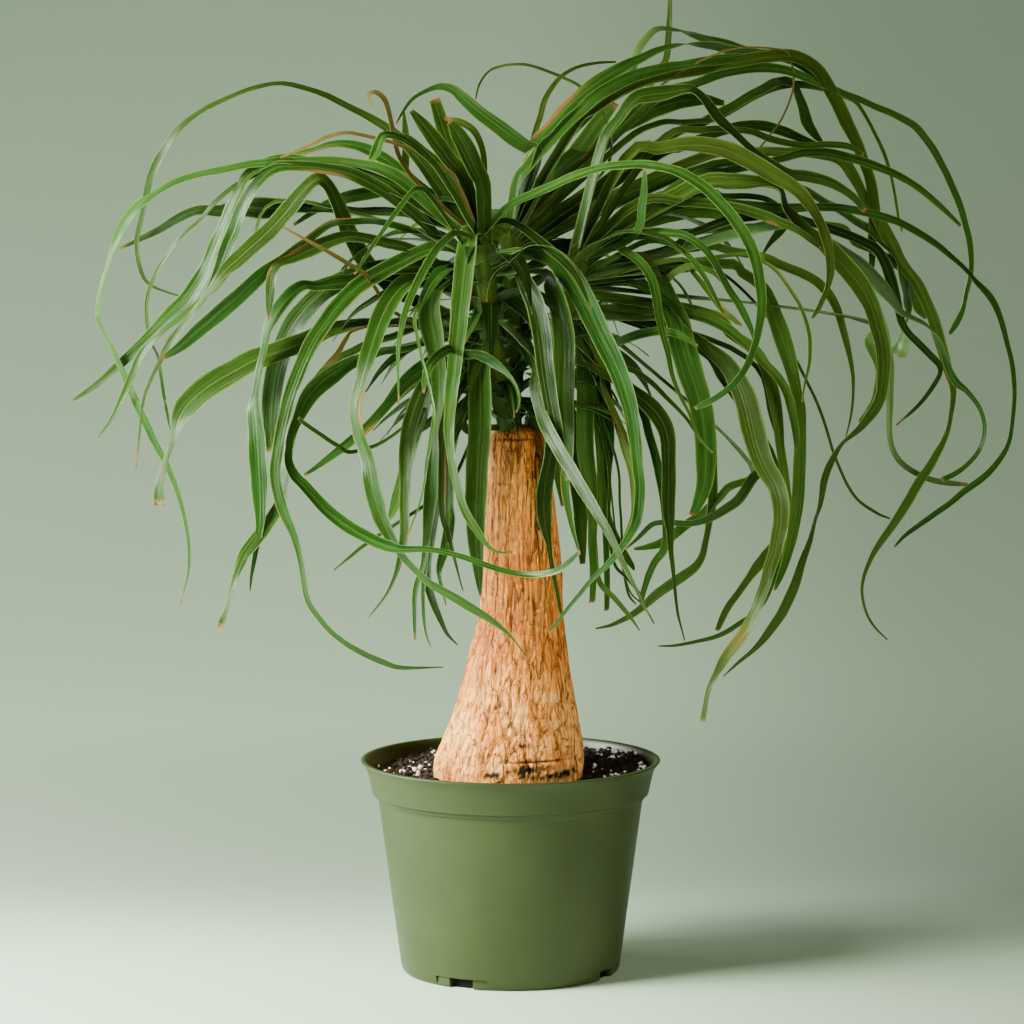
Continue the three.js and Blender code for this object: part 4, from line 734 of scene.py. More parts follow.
rightLeaves = [
    (370, 0.25, [37, 365, 8, 39, 350, 10, 41, 335, 10.6, 41, 315, 10.2, 40.5, 295, 9.6, 42, 280, 9, 44, 265, 7.6,
        45, 250, 5.4, 44.8, 236, 4.6, 45.4, 224, 4.2, 45.2, 212, 3.6, 44.8, 205, 3.4], {"cut": True}),
    (366, 0.6, [44, 350, 4, 48, 340, 6, 50.5, 325, 8, 51.5, 310, 9.6, 52, 296, 9.6, 51.5, 280, 8.2, 50.5, 264, 8,
        52.6, 250.7, 6, 55.6, 243.6, 5.2, 59, 236.3, 5.4, 62.7, 230.3, 5, 66.3, 225.5, 3, 68, 222.5, 1]),
    (366, 0.1, [48, 340, 3, 51, 323, 2.2, 57.3, 308.7, 3, 62, 298, 2.8, 64.5, 291, 1], {"tan": [(2, 4, -1)]}),
    (360, 0.35, [52, 318, 3, 59.6, 299, 3.4, 63, 289.6, 5.5, 66.7, 279, 5.5, 68, 266, 4.6, 68, 254, 4, 64, 243, 3,
        61, 236, 1.4]),
    (392, 0.55, [50, 452, 5, 60, 470, 5, 68, 480, 7, 76, 482.5, 9, 84, 483.5, 8.6, 92, 485, 5.4, 98, 485.5, 3.4,
        103.3, 482, 4, 108, 476, 5.4, 112.7, 470, 5.8, 118.6, 464.4, 4.8, 124.5, 458.5, 3.4, 131.6, 452.6, 3.4,
        140, 446, 4.4, 150.5, 439.8, 6, 161, 438.3, 6.4, 173, 435.3, 5.6, 182.5, 430, 4.4, 188, 425.5, 4,
        193, 419, 2.4]),
    (392, 0.75, [80, 456, 4, 104, 463.5, 3.4, 128, 463, 3.2, 140, 459, 3.8, 150, 456.5, 3.6, 160, 455, 3.2,
        172, 455.6, 3.6, 184, 454.5, 3.6, 192, 450, 2]),
    (390, 0.9, [95, 436, 4, 118, 441, 4, 140, 446, 3.4, 150, 448.6, 3.8, 160, 451, 4.4, 172, 451, 5, 184, 448.5, 5,
        196, 444.8, 4.8, 208, 440, 4.2, 217.5, 435, 3.8, 227, 428, 3.6, 235, 421, 3.2, 245, 411.5, 1.8]),
    (392, 0.4, [64, 448, 5, 80, 452.5, 6, 92, 455, 7, 106, 455, 8.6, 118, 452.3, 9.8, 130, 446.7, 9.4, 141, 440, 9,
        149, 435.5, 8, 155, 431.5, 7.4, 160.5, 426, 7, 165, 419.5, 5.6, 168.4, 413, 4.8, 171.2, 406.4, 5.8,
        173.2, 399.6, 5.2, 174, 392.8, 4.8, 174.2, 386, 4.6, 173.3, 380, 3.2, 171.8, 375, 2.6, 169.8, 370.5, 3,
        167.4, 365.5, 2.6, 164.5, 361, 1.2]),
    (388, 0.82, [80, 418, 5, 108, 424, 5, 128, 422.5, 4.4, 150, 421, 5, 165, 421.5, 4.4, 180, 421, 4.4,
        194, 418.5, 4.4, 207, 415, 4.4, 214, 412, 4, 224, 406.5, 3.8, 234, 399.6, 3.4, 241, 393.8, 2.8,
        249.3, 386, 2.2, 254, 380.5, 2.8, 259, 375.4, 4, 262.8, 370.6, 4, 266, 364, 3.6, 270, 351, 3, 273, 338.6, 3,
        275, 326.7, 3, 275, 314.8, 2.6, 274.2, 303, 2.6, 272.4, 293.4, 2.8, 269.4, 286.3, 3.4, 264, 279, 3.8,
        257, 272.3, 4, 247.6, 265.5, 4, 240, 259, 3.4, 231, 252.6, 3.4, 222.6, 246.6, 3, 215.5, 241, 2.2,
        210.5, 235.4, 1]),
    (386, 0.65, [84, 397, 4, 96, 405.3, 3.6, 104.4, 409, 4.4, 116, 413.6, 5, 128, 416, 5, 141, 417.5, 4.4,
        154.8, 416, 4, 165, 412.5, 4, 176.6, 409, 5, 184, 406.2, 5, 192, 402.6, 4.6, 199, 399, 5.4, 204, 391, 6.2,
        207.7, 381, 6.5, 210.7, 371, 4.6, 213, 360, 4.4, 217, 353, 4, 223, 347, 4, 230, 340, 4, 234, 335.5, 3.6,
        234.4, 330.5, 2.4, 231, 324, 2.8, 226, 317, 2.4, 220, 310.5, 2, 211, 302.5, 0.9]),
    (394, 0.5, [100, 431, 8, 118, 434, 9, 132, 434, 7, 141, 433, 3, 146.5, 430, 1.6, 148.5, 422, 4.6, 152, 417, 5.4,
        158, 411, 6, 165, 405, 7, 173, 399, 9.4, 182, 389, 10.8, 190, 379.5, 10.8, 196, 369, 9.4, 200, 357, 8.6,
        203, 345, 8.6, 203.6, 332, 7.6, 202.4, 320, 6.4, 199.4, 312, 6.4, 195, 306, 5.6, 190, 300.5, 4, 185, 296, 2.8,
        181.3, 292.5, 2.4, 177.5, 287, 3.6, 174, 280, 4.4, 171.5, 271.5, 4.4, 170.3, 265, 4, 168.8, 257, 2.4,
        167, 250.8, 2.2, 164.7, 242.4, 3, 161.7, 232.8, 4, 158.2, 222, 5.2, 154.6, 211, 6, 149.8, 200.4, 6,
        145, 193, 5.4, 140.3, 186, 4.6, 136.5, 181.5, 3.6, 132, 177, 2.6, 126, 172, 2,
        117, 163.6, 0.7], {"tan": [(6, 9, -1)]}),
    (384, 0.7, [140, 413, 5, 165, 406, 6, 184, 395, 8, 195, 386, 8.4, 203, 377.5, 8, 209, 370, 5, 213.5, 364.5, 3.4,
        220, 361, 2.2, 227, 357.5, 2, 233, 350, 2.6, 237, 340, 3, 240.5, 331, 4, 244, 325.4, 4.4, 249, 321.5, 3,
        254.7, 314.7, 2.4, 258.2, 307.5, 2.2, 259.4, 300.4, 2, 258.2, 293, 2, 254.7, 286, 2.4, 248.7, 279.5, 2.2,
        242.8, 275.5, 2.8, 236, 272.3, 3]),
    (372, 0.45, [47.8, 364.6, 7, 63.4, 365, 8, 82, 366, 6.6, 96, 363.5, 5, 108, 360.5, 5.4, 119, 354.8, 5.6,
        126, 349, 5, 133, 343, 4.6, 139, 336, 4.4, 146, 329, 4.6, 151, 320, 5, 154, 309, 4.6, 156, 298, 4,
        156.4, 288, 1.6]),
    # This broad leaf is painted much darker, as painted shade for a face turned to the lamps
    (366, 0.2, [87, 361, 4, 98.6, 353, 5, 108, 346, 7, 117.5, 337, 9, 124.6, 326.5, 11, 129.4, 314.6, 12.6,
        132.3, 302.7, 13, 135.3, 290.9, 12.4, 140, 279, 11, 145.5, 269.5, 10, 148, 261, 9.4, 148.3, 251, 8.4,
        147, 242, 8, 145.3, 233, 7.2, 142.3, 224, 6.6, 140, 214.8, 6, 136.3, 205, 5.2, 133.4, 198, 4.8,
        129.2, 189.5, 5.6, 123.3, 181, 6, 117.3, 172.7, 5.4, 113.2, 165.5, 3.4, 110.2, 159.4, 2.6, 108.4, 153.4, 2.4,
        107, 146, 2.6, 105.8, 138.5, 3], {"shade": -0.4, "tan": [(17, 20, 0)]}),
    (380, 0.3, [75, 387, 6, 80, 382, 8, 85, 372, 11, 91, 358, 13, 94, 345, 14.6, 98, 332, 14.2, 102, 320, 13.2,
        105, 308, 12.6, 106.5, 295, 12, 107, 282, 11.5, 106, 270, 9, 103, 260, 6.6, 99.3, 253, 3.4]),
    (376, 0.5, [84, 362, 5, 96, 338, 5, 104, 316, 5, 108.5, 300, 5, 110.3, 286, 5, 110.6, 272, 5.4, 110.3, 258, 5.2,
        108.4, 248.4, 3.8, 107, 240, 3.4, 105.4, 231.5, 4.2, 101.5, 225, 5.2, 94.8, 219.4, 6, 87.7, 214.6, 6,
        80.5, 209.6, 5.6, 74.6, 204, 4.6, 68.6, 199.2, 4, 61.5, 195, 3, 54.4, 191.8, 2, 46.6, 190.2, 0.8]),
    (352, 0.15, [54, 331, 3, 62, 325, 4.4, 70, 318, 7.6, 78, 311, 9.6, 83.5, 303, 9.6, 86, 294, 8.6, 86.5, 280, 7.6,
        86.5, 266, 8, 86.6, 253, 6.8, 87.5, 243, 4, 88, 232.7, 2.8, 89, 224.3, 2.4, 89.8, 217, 2, 90.7, 207.5, 1.7,
        92, 198, 1.5, 94.2, 189.5, 1, 95.8, 183.5, 0.5]),
    (370, 0.35, [100, 345, 4, 116, 326, 4, 131, 306, 4, 139, 290, 4.4, 138, 279.5, 5.2, 132.3, 273, 6, 125, 262, 5.8,
        118.5, 256.8, 5.4, 111.4, 252.6, 4.8, 104.3, 249.6, 3.8, 97, 248.3, 3.6, 90, 248.8, 3.4, 82.9, 249, 3,
        77.6, 247.8, 3, 73, 243.6, 2.8, 69, 239.5, 2.2, 63.5, 234.6, 1]),
    (350, 0.4, [66, 318, 4, 76, 296, 4.6, 83, 268, 5, 85.6, 246, 5, 84, 234, 4.6, 79.4, 227.5, 4.2, 75.8, 220, 4,
        73.4, 212.3, 3.2, 71.6, 205, 3], {"cut": True}),
    (370, 0.6, [105, 345, 4, 130, 308, 5, 146, 275, 6, 148.5, 255, 6, 145.5, 238, 6.4, 140, 230.3, 7, 135, 224.3, 6,
        131, 218.5, 4.2, 125.7, 211, 4, 119.8, 202.8, 4, 116.2, 195.6, 3.8, 113.6, 189.3, 2.8], {"cut": True}),
    (372, 0.72, [125, 342, 2.6, 143, 306, 3, 151, 272, 3, 149, 238, 3, 141.5, 210, 3, 133, 198.5, 2.8, 125.7, 193, 3,
        118.5, 188.4, 3, 111.4, 185.3, 2.6, 104.3, 183.5, 2.2, 97, 182, 2, 90, 180.8, 1.6, 81, 180.4, 0.7]),
    (384, 0.05, [56, 399, 3, 63.4, 396.6, 4, 70.5, 391.8, 5, 76.4, 383.5, 5, 79.4, 372.9, 4.8, 81, 362, 4.4,
        83, 352.7, 3.6, 86, 342, 3, 88.3, 330, 2.4, 93, 318, 1.9, 97.8, 308.7, 1.6, 101.3, 299, 1.4, 106, 292, 1,
        110.8, 287.3, 0.6]),
    (380, 0.15, [70, 401.5, 3, 84.8, 402.5, 3.2, 91.9, 399, 3, 99, 393, 2.8, 105, 384.7, 2.6, 109.7, 376.4, 2.4,
        113.2, 369.3, 2, 117, 362, 1]),
    (390, 0.25, [48, 404, 3, 60.8, 406.6, 3.4, 70, 407.8, 4.8, 82, 407.8, 5, 93.8, 406.6, 4.4, 102, 402, 3.8,
        109, 395, 3.6, 115, 384, 3.4, 119.6, 376, 3.8, 124.6, 368.5, 4.2, 128.5, 361, 3.8, 131.7, 354, 2.6,
        133.5, 346, 1.4]),
    (392, 0.2, [62, 402, 3, 70, 411, 4.4, 71.4, 420.7, 4.4, 72.6, 430, 3.8, 73, 443, 1.8]),
    (384, 0.6, [100, 399, 4, 120, 397.5, 4, 137.8, 394, 5, 145.3, 391, 4.8, 152, 388, 4.8, 159, 385.3, 4.8,
        165.7, 381.8, 5, 171, 377, 5.4, 175.2, 371.5, 5, 178.6, 364.5, 4.6, 181, 356, 4.2, 183.7, 346.5, 3.6,
        186, 336, 2.6, 187.2, 326.5, 1.9, 187, 315, 1.5, 185.6, 305, 1.2, 183.5, 296, 0.6]),
    (382, 0.35, [125, 396, 2, 138, 391.5, 2, 144.7, 387, 2.2, 150, 380.5, 2.2, 154, 374.4, 2.2, 157.6, 368.3, 2,
        161, 360, 2, 163.2, 350.5, 2.2, 163.4, 339.6, 2, 162.3, 332, 1.6, 160.5, 324, 1.2,
        159.4, 315, 0.7], {"tan": [(2, 4, 1)]}),
    (346, 0.3, [54, 334, 2, 61.6, 333.7, 2.4, 69.3, 331.3, 2.8, 77.6, 325.4, 2.8, 84.8, 318, 2.4, 91.9, 311, 2,
        97.8, 304, 1.8, 104, 293, 0.8]),
    (378, 0.55, [112, 389, 5, 126, 385, 5, 136, 378, 6, 141, 370, 7.4, 144, 361.5, 9.2, 147.3, 352.5, 9.8,
        151, 342, 9.2, 153.5, 332, 7.4, 156, 322, 5.8, 158, 312, 6, 158.5, 300, 6.6, 158.2, 288, 7, 158, 276, 7.2,
        157.4, 266, 7.2, 156.7, 256, 7, 154.9, 245, 6.4, 153, 236, 5.8, 150.7, 227, 4.8, 147.7, 218.5, 3.6,
        145, 211.5, 1.6]),
    (374, 0.5, [105, 364, 5, 120, 353, 6, 131, 345, 6, 138, 337, 6, 141.8, 326.5, 7, 144.7, 314.6, 7,
        146.4, 302.7, 5.6, 147.5, 291, 5, 150, 275, 5, 152, 262, 4, 152, 250, 1.5]),
    (362, 0.5, [45, 322, 4, 48, 295, 4, 50.5, 262, 4, 52.3, 240, 3.6, 52.8, 222, 3.4, 53, 210, 3.2,
        52.8, 200.5, 2.8], {"cut": True}),
    (394, 0.45, [70, 424, 5, 95, 424, 5, 116, 422.5, 5, 131.7, 418.8, 5, 140, 416, 5.8, 147, 413, 5, 153, 410.7, 4,
        158.5, 407.5, 3.4, 164, 403.3, 3.2, 169, 399, 1.4], {"tan": [(4, 5, -1)]}),
    (386, 0.4, [70, 396, 3, 82.4, 381.5, 3.5, 89.5, 386, 3.5, 97.8, 389.5, 3.5, 106, 388, 3, 112, 384.7, 2.2,
        118, 377, 1]),
    (392, 0.85, [74, 420, 6, 80, 425, 8, 92, 427.5, 9, 104, 426, 8, 114, 423, 5.4, 126, 420, 5, 140, 416.5, 5,
        149, 412.5, 4, 146, 408, 5, 142, 403, 3, 139.5, 399.5, 2, 137, 395.5, 1]),
    (392, 0.75, [100, 428, 3, 116, 427.5, 3.2, 128, 427.6, 3.2, 136, 426.8, 3, 141, 425, 3.2, 146, 421.6, 3,
        151, 417, 1]),
    (380, 0.62, [185, 362, 1.6, 196, 347, 5, 202, 333, 5.4, 201, 319, 6, 197, 310.5, 5.2,
        191, 304, 2.6], {"cut": True}),
    (378, 0.3, [90, 393, 2, 99, 386, 2.4, 106, 378, 3.2, 110.8, 371.7, 3.2, 114.8, 366.6, 3.4, 120.3, 361.5, 3.4,
        126, 357, 1.6], {"tan": [(3, 5, 1)]}),
    (368, 0.25, [50, 345, 4, 57.3, 347.5, 4.4, 69.3, 352, 5, 81, 354, 4.6, 92, 352, 3.4, 102, 346, 1.6]),
    (372, 0.5, [128, 286, 2, 118, 267, 4, 106, 254.5, 4, 99, 249.5, 4.4, 92.4, 244.5, 5.2, 84.5, 238.4, 5.2,
        76, 235.6, 3.4, 67.5, 234.2, 1.4]),
    (356, 0.3, [44, 290, 2, 46, 240, 2.6, 48.5, 217, 3, 56.7, 207.5, 2.8, 62.7, 200.4, 2.6, 67.4, 194.4, 1.4,
        71, 189, 0.6]),
    (358, 0.32, [52, 290, 1.6, 54, 250, 1.8, 56.7, 227, 1.8, 63.9, 218.3, 1.8, 69.8, 211, 1.8, 73.6, 205, 1.2]),
    (356, 0.45, [56, 290, 1.4, 60, 258, 1.4, 61.5, 230, 1.4, 62.7, 218.4, 1.4, 65, 208.7, 1.4, 69, 203.6, 0.8]),
    (384, 0.9, [100, 392, 1.6, 140, 362, 1.6, 166, 318, 1.6, 178, 284, 1.6, 188, 264, 1.7, 200, 254.5, 1.7,
        208, 251, 0.9]),
    (352, 0.5, [50, 296, 1, 58, 240, 1, 62, 222, 1, 66, 210, 0.9, 73, 203, 0.8, 79, 193, 0.6]),
    (330, 0.9, [27, 322, 8, 33, 300, 10, 36.5, 275, 9.5, 38.5, 250, 7.5, 39.5, 226, 3]),
    (326, 0.6, [24, 316, 7, 26, 296, 8, 27, 276, 7, 29, 258, 3]),
]
backLeaves = [
    (404, 0.12, [12, 452, 5, 20, 463.5, 5.4, 30, 474.5, 6.4, 40, 483.5, 7.6, 50, 491, 8, 60, 497, 6.6, 70, 502, 4.8,
        80, 506.5, 3.4, 90, 509.5, 2.6, 100, 510, 2.8, 110, 509, 5, 118, 507, 5.6, 128, 506, 4.2,
        138, 504.5, 2], {"tan": [(0, 3, 1)]}),
    (402, 0.05, [4, 434, 5, 10, 444, 6, 22, 458, 6.6, 34, 470.5, 6.8, 46, 481, 7, 58, 488.5, 7, 70, 493.5, 6.6,
        82, 496.5, 5.8, 94, 498.5, 4.8, 104, 500, 5.2, 114, 501.5, 6, 126, 502.5, 4.8, 140, 503, 3.8, 152, 500.5, 3.4,
        164, 492.5, 2, 172, 484, 0.9]),
    (400, 0.35, [28, 455, 3.4, 42, 471, 3.6, 54, 483, 3.8, 63, 493, 4, 67, 500, 4.2, 69, 506, 4.4, 72, 511.5, 4.2,
        76, 516, 3.4, 81, 518.3, 2.8, 89, 518, 2.4, 96, 516, 2.8, 103.3, 513.7, 4, 110.3, 511.4, 5, 117.4, 509.6, 6,
        125.7, 507, 4.6, 135, 505.5, 3.6, 150, 505, 3, 160, 501, 1.4]),
    (402, 0.2, [34, 462, 5, 45, 473, 5.4, 60, 484, 7, 72, 490, 7.6, 84, 493.5, 8, 96, 495, 7.4, 108, 497, 6.4,
        120, 499.5, 6.4, 134, 502, 6.6, 146, 503.5, 7, 157, 502, 7, 165, 497, 7, 171, 489, 7.4, 176.5, 479, 8,
        181.5, 469, 8, 186.5, 459, 7, 190.5, 449.5, 6.4, 194, 440, 6.2, 196.5, 430, 6.6, 197.7, 419, 7.2,
        197.4, 409, 6.6, 196.7, 400, 4.8, 196.4, 390, 3.4, 197, 380, 2.6, 199.5, 368, 4, 202.5, 357, 5, 205, 346, 6,
        206.5, 334, 6, 207, 322, 4.8, 207, 310, 4, 207, 299.5, 3, 208.3, 291, 3, 211.6, 284.4, 3.4, 217, 279, 3.4,
        224, 275, 3.4, 232, 272, 3.6, 241, 270.5, 3.6, 250, 269.8, 2]),
    (398, 0.45, [75, 476, 4, 100, 488, 4.6, 120, 495, 5, 138, 497, 5.4, 150, 495.5, 5, 162, 491, 4.4, 172, 487, 3.8,
        182, 482.6, 3.4, 190, 479.5, 3.6, 199.4, 475.4, 3.6, 208.2, 471.7, 3.8, 215.6, 468, 4.2, 220.7, 464.3, 4.4,
        225.2, 459, 4.4, 230.4, 451.5, 4.4, 234.9, 443.4, 4.2, 239, 435, 4.2, 242.8, 426.4, 4.2, 245.8, 418, 4,
        248, 410, 3.8, 249.9, 402, 3.8, 250.8, 394, 3.4, 250.7, 387, 3.2, 250, 381.5, 3, 248.5, 375, 2.8,
        247, 368.3, 2.8, 245.2, 362.5, 3.6, 242.6, 357.3, 4, 239.4, 352.5, 2]),
    (406, 0.25, [32, 440, 3.2, 44, 451, 3.8, 51, 458.5, 4, 61, 465.5, 4, 67, 473, 3.6, 73, 482, 3.2, 77, 490, 2.8,
        81, 497, 2.6, 84.4, 502, 3.6, 85.3, 511, 3.8, 86, 521, 3.2, 86.3, 532, 2.6, 86, 539, 1.4]),
    (404, 0.4, [13, 460, 3, 16, 470, 3.2, 18.3, 478.6, 3.2, 21.9, 485.6, 2.8, 27.8, 492.6, 2.2, 36, 497.4, 1.8,
        46.7, 499.7, 1.6, 57.3, 500.3, 1.2]),
    (398, 0.6, [60, 455, 3.4, 80, 466.5, 2.8, 95, 467.5, 2.8, 108, 468.5, 3, 116, 472, 3.8, 124, 477, 4.2,
        132, 481.8, 4.6, 140, 485.5, 4.6, 150, 488, 4.2, 158, 488, 4.2, 167, 486.5, 3.6, 176, 483.5, 2.8,
        186, 479.4, 2.4, 190.5, 474.5, 2.2, 195.5, 465.8, 2, 200, 457, 2.2, 203.5, 449, 2.2, 206.5, 439.5, 1.8,
        209, 428, 1.7, 211, 416, 1.6, 213, 408.5, 1]),
    (396, 0.3, [80, 455, 4.4, 104, 467, 4.6, 124, 478, 4.6, 138, 486, 4.8, 146.5, 489.5, 4.4, 152.5, 488, 4.8,
        157.2, 479, 5.4, 160.2, 469, 7, 164.5, 462, 5.2, 170, 455.5, 1.6]),
    (394, 0.5, [75, 446, 4.4, 92, 454, 4.8, 108, 460.5, 5, 125, 465.5, 5.2, 138, 465.5, 6, 150, 462, 5.8,
        160, 458, 4.2, 170, 454.5, 1.8]),
    (392, 0.3, [110, 443, 4, 150, 434, 4, 185, 415, 4, 203, 402, 5, 211, 393, 5, 213.5, 383, 5.6, 215.2, 374, 5.6,
        216.3, 366, 4.2, 215.6, 358, 3.6, 214.6, 351, 5, 213, 345.5, 7.6, 211, 341, 10], {"cut": True}),
    (396, 0.15, [100, 446, 5, 130, 450, 5, 152, 450.5, 5, 170, 449.5, 5.4, 180, 446, 7.2, 185, 440, 7.2,
        189, 432, 5.6, 193, 424, 5.2, 198, 416.5, 6.4, 203, 409, 8.2, 207.5, 401, 8, 211.5, 393, 7.2, 216.5, 386, 6.6,
        221.5, 379.5, 6.6, 226, 371, 6.6, 230, 361.5, 7, 233, 352.5, 7, 236, 342, 6.2, 238.5, 333.5, 5.6,
        241, 325.5, 4.4, 241.4, 317, 3.4, 240.6, 308, 3, 238.4, 299, 3, 234.8, 290, 4.6, 229.5, 280.5, 5.4,
        223.5, 271, 5.8, 218, 261.5, 5.8, 211.5, 250.5, 5.2, 203.8, 239.5, 4.2, 198, 229.8, 3, 194, 219.5, 2.2,
        192.9, 210.5, 1.8, 195, 200, 1.6, 199.6, 191.6, 1.4, 207, 184, 0.7], {"tan": [(16, 20, 0)]}),
    (404, 0.15, [15, 448, 6, 8, 455, 8, 0, 460.5, 9, -8, 466.5, 8.2, -18, 474, 7.6, -26, 481, 6.6, -31, 485.5, 5.2,
        -38, 487, 3.8, -45, 485, 2.4, -53, 480.5, 2, -58, 474, 1.6, -62, 467, 0.9]),
    (398, 0.1, [-20, 412, 6.4, -24, 426, 7.8, -29, 441, 8.6, -34, 457, 8.4, -38, 469, 7.4,
        -41.3, 480, 6], {"cut": True}),
    (404, 0.05, [-12, 415, 2.4, -14, 430, 2.8, -14.5, 445, 3.2, -16, 455, 3.4, -20, 463, 3.8, -27, 467.5, 4,
        -36, 470, 2]),
    (396, 0.4, [160, 412, 3, 188, 402, 4, 206, 393, 5, 216, 385, 6.4, 219.8, 376, 8, 222.5, 367, 6.4, 226.5, 361, 2]),
    (400, 0.7, [-57, 420, 3, -57, 445, 4, -57, 460, 4.4, -58, 474, 1.2]),
    (404, 0.3, [50, 440, 1.6, 52, 468, 1.6, 40, 485, 1.7, 28, 492, 1.7, 12, 498, 1.6, 3, 499, 1.5, -5, 498, 1.4,
        -12, 495, 1.3, -17, 488, 1.2, -19, 480, 0.8], {"dry": 0.08}),
    (400, 0.1, [60, 470, 1, 110, 504, 1, 146, 507, 1, 152.8, 498, 1.1, 153.4, 488, 1.1, 151.6, 479.7, 1.1,
        146.9, 469, 1.1, 141, 460.8, 1, 134, 452.6, 1, 125.7, 446.7, 0.8], {"dry": 0.32}),
    (402, 0.3, [14, 424, 7, 26, 437, 9, 38, 454, 9.5, 49, 469, 8, 57, 478, 4]),
    (404, 0.5, [24, 440, 6, 44, 456, 8.5, 64, 468, 10, 84, 477, 10, 102, 480, 7, 116, 478, 3]),
    (392, 0.5, [30, 398, 6, 56, 409, 7.5, 80, 416, 9, 100, 419.5, 8.5, 116, 417, 6, 128, 409, 2.5]),
]


# Even draws from 0 to 1: each state is the last one times 16807, modulo 2^31 - 1
def seededDraws(seed):
    state = seed
    while True:
        state = state * 16807 % 2147483647
        yield state / 2147483647


# The point on a stem's middle line at a height
def stemPoint(head, height):
    rows = np.array(stems[head], float)
    return np.array([np.interp(height, rows[:, 2], rows[:, 0]), np.interp(height, rows[:, 2], rows[:, 1]), height])


# Nearest and furthest depth of a head's room at each x
def roomAt(head, x):
    right = x - room["hubX"]
    left = room["hubY"] - room["leftSlope"] * right
    frontWall = np.where(right > 0, room["hubY"] - room["frontSlope"] * right, left)
    backWall = np.where(right > 0, room["hubY"] + room["backSlope"] * right, left)
    if head == "front":
        return frontWall - room["spread"], frontWall - room["wallGap"]
    if head == "back":
        return backWall + room["wallGap"], backWall + room["spread"]
    middle = (frontWall + backWall) / 2
    return np.minimum(frontWall + room["wallGap"], middle), np.maximum(backWall - room["wallGap"], middle)


# Keeps a depth in the head's room and clear of the trunk
def settledDepth(head, x, z, depth):
    settled = np.clip(depth, *roomAt(head, x))
    outline = np.array(trunkOutline, float)[1:-1]
    reach = np.interp(z, outline[:, 0], outline[:, 2]) + room["trunkGap"]
    bulge = np.sqrt(np.clip(reach ** 2 - (x - room["trunkCentre"]) ** 2, 0, None))
    low = z < room["trunkTop"] + room["trunkGap"]
    if head == "front":
        return np.where(low, np.minimum(settled, -bulge), settled)
    if head == "back":
        return np.where(low, np.maximum(settled, bulge), settled)
    return settled


# A leaf as seen from the front: each seen point is pushed along its line of sight to the leaf's depth
def seenRoute(head, rootHeight, place, x, z):
    root = stemPoint(head, rootHeight)
    near, far = roomAt(head, x)
    ease = 1 - (1 - np.arange(1, len(x) + 1) / len(x)) ** 2
    depth = settledDepth(head, x, z, root[1] + ease * (near + place * (far - near) - root[1]))
    stretch = (eyeDistance + depth) / eyeDistance
    return np.vstack([root, np.stack([x * stretch, depth, eyeHeight + (z - eyeHeight) * stretch], -1)])


# A leaf by rule: it leaves the stem on a slant and turns steadily down
def bentRoute(head, rule, index, draw):
    steps = fillSizes["steps"]
    share = index % rule["count"] / rule["count"]
    turn = (index * fillSizes["goldenTurn"] + fillSizes["firstTurn"]) % 1
    heading = math.radians(rule["from"] + (rule["to"] - rule["from"]) * turn)
    rise = math.radians(84 - 28 * share + 6 * next(draw))
    drop = math.radians(40 + 34 * next(draw))
    length = rule["shortest"] + fillSizes["lengthRange"] * next(draw) * (0.25 + 0.75 * share)
    root = stemPoint(head, rule["low"] + (rule["high"] - rule["low"]) * share)
    slope = rise - (rise + drop) * ((np.arange(steps) + 0.5) / steps) ** (0.42 + 0.6 * share)
    step = length / steps
    x = root[0] + np.cumsum(step * np.cos(slope) * math.cos(heading))
    y = root[1] + rule["flat"] * np.cumsum(step * np.cos(slope) * math.sin(heading))
    z = root[2] + np.cumsum(step * np.sin(slope))
    points = np.stack([x, settledDepth(head, x, z, y), np.maximum(z, fillSizes["lowest"])], -1)
    return np.vstack([root, points]), heading


# Turns each vector about its unit axis: v cos a + (k x v) sin a + k (k . v)(1 - cos a)
def turnAbout(vectors, axes, angles):
    c, s = np.cos(angles)[:, None], np.sin(angles)[:, None]
    return vectors * c + np.cross(axes, vectors) * s + axes * np.sum(axes * vectors, -1, keepdims=True) * (1 - c)


# Each vector over its own length
def unit(vectors):
    return vectors / np.maximum(np.linalg.norm(vectors, axis=-1, keepdims=True), 1e-9)


# Averages rows of a curve's values with their neighbours, so that a sharp swing is spread out
def softened(rows, reach):
    kernel = np.hanning(2 * reach + 3)[1:-1]
    padded = np.pad(rows, ((reach, reach), (0, 0)), mode="edge")
    return np.stack([np.convolve(padded[:, k], kernel / kernel.sum(), "valid") for k in range(rows.shape[1])], -1)


# Width and turn of a blade at each point of its route. No part is narrower than the widest one seen further out,
# and a blade seen at w of its width W is turned by acos(w / W). Past its most edge-on point it shows its back.
def seenShape(seen):
    seen = np.concatenate([seen[:1], seen])
    width = 1.06 * np.maximum.accumulate(seen[::-1])[::-1]
    degrees = np.degrees(np.arccos(np.clip(seen / width, 0.15, 1)))
    edgeOn = int(np.argmax(degrees))
    if degrees[edgeOn] > 62 and len(seen) % 2:
        degrees[edgeOn + 1:] = 180 - degrees[edgeOn + 1:]
    return width, degrees


# A blade's middle line, ring by ring: its points, its directions, its arc lengths and its shares of the length
def bladeLine(route):
    chords = np.linalg.norm(np.diff(route, axis=0), axis=1).sum()
    count = int(np.clip(chords / leafSizes["ringStep"], leafSizes["fewestRings"], leafSizes["mostRings"]))
    spots = smoothPath(route, count)
    arc = np.concatenate([[0], np.cumsum(np.linalg.norm(np.diff(spots, axis=0), axis=1))])
    return spots, unit(np.gradient(spots, axis=0)), arc, np.linspace(0, 1, count)


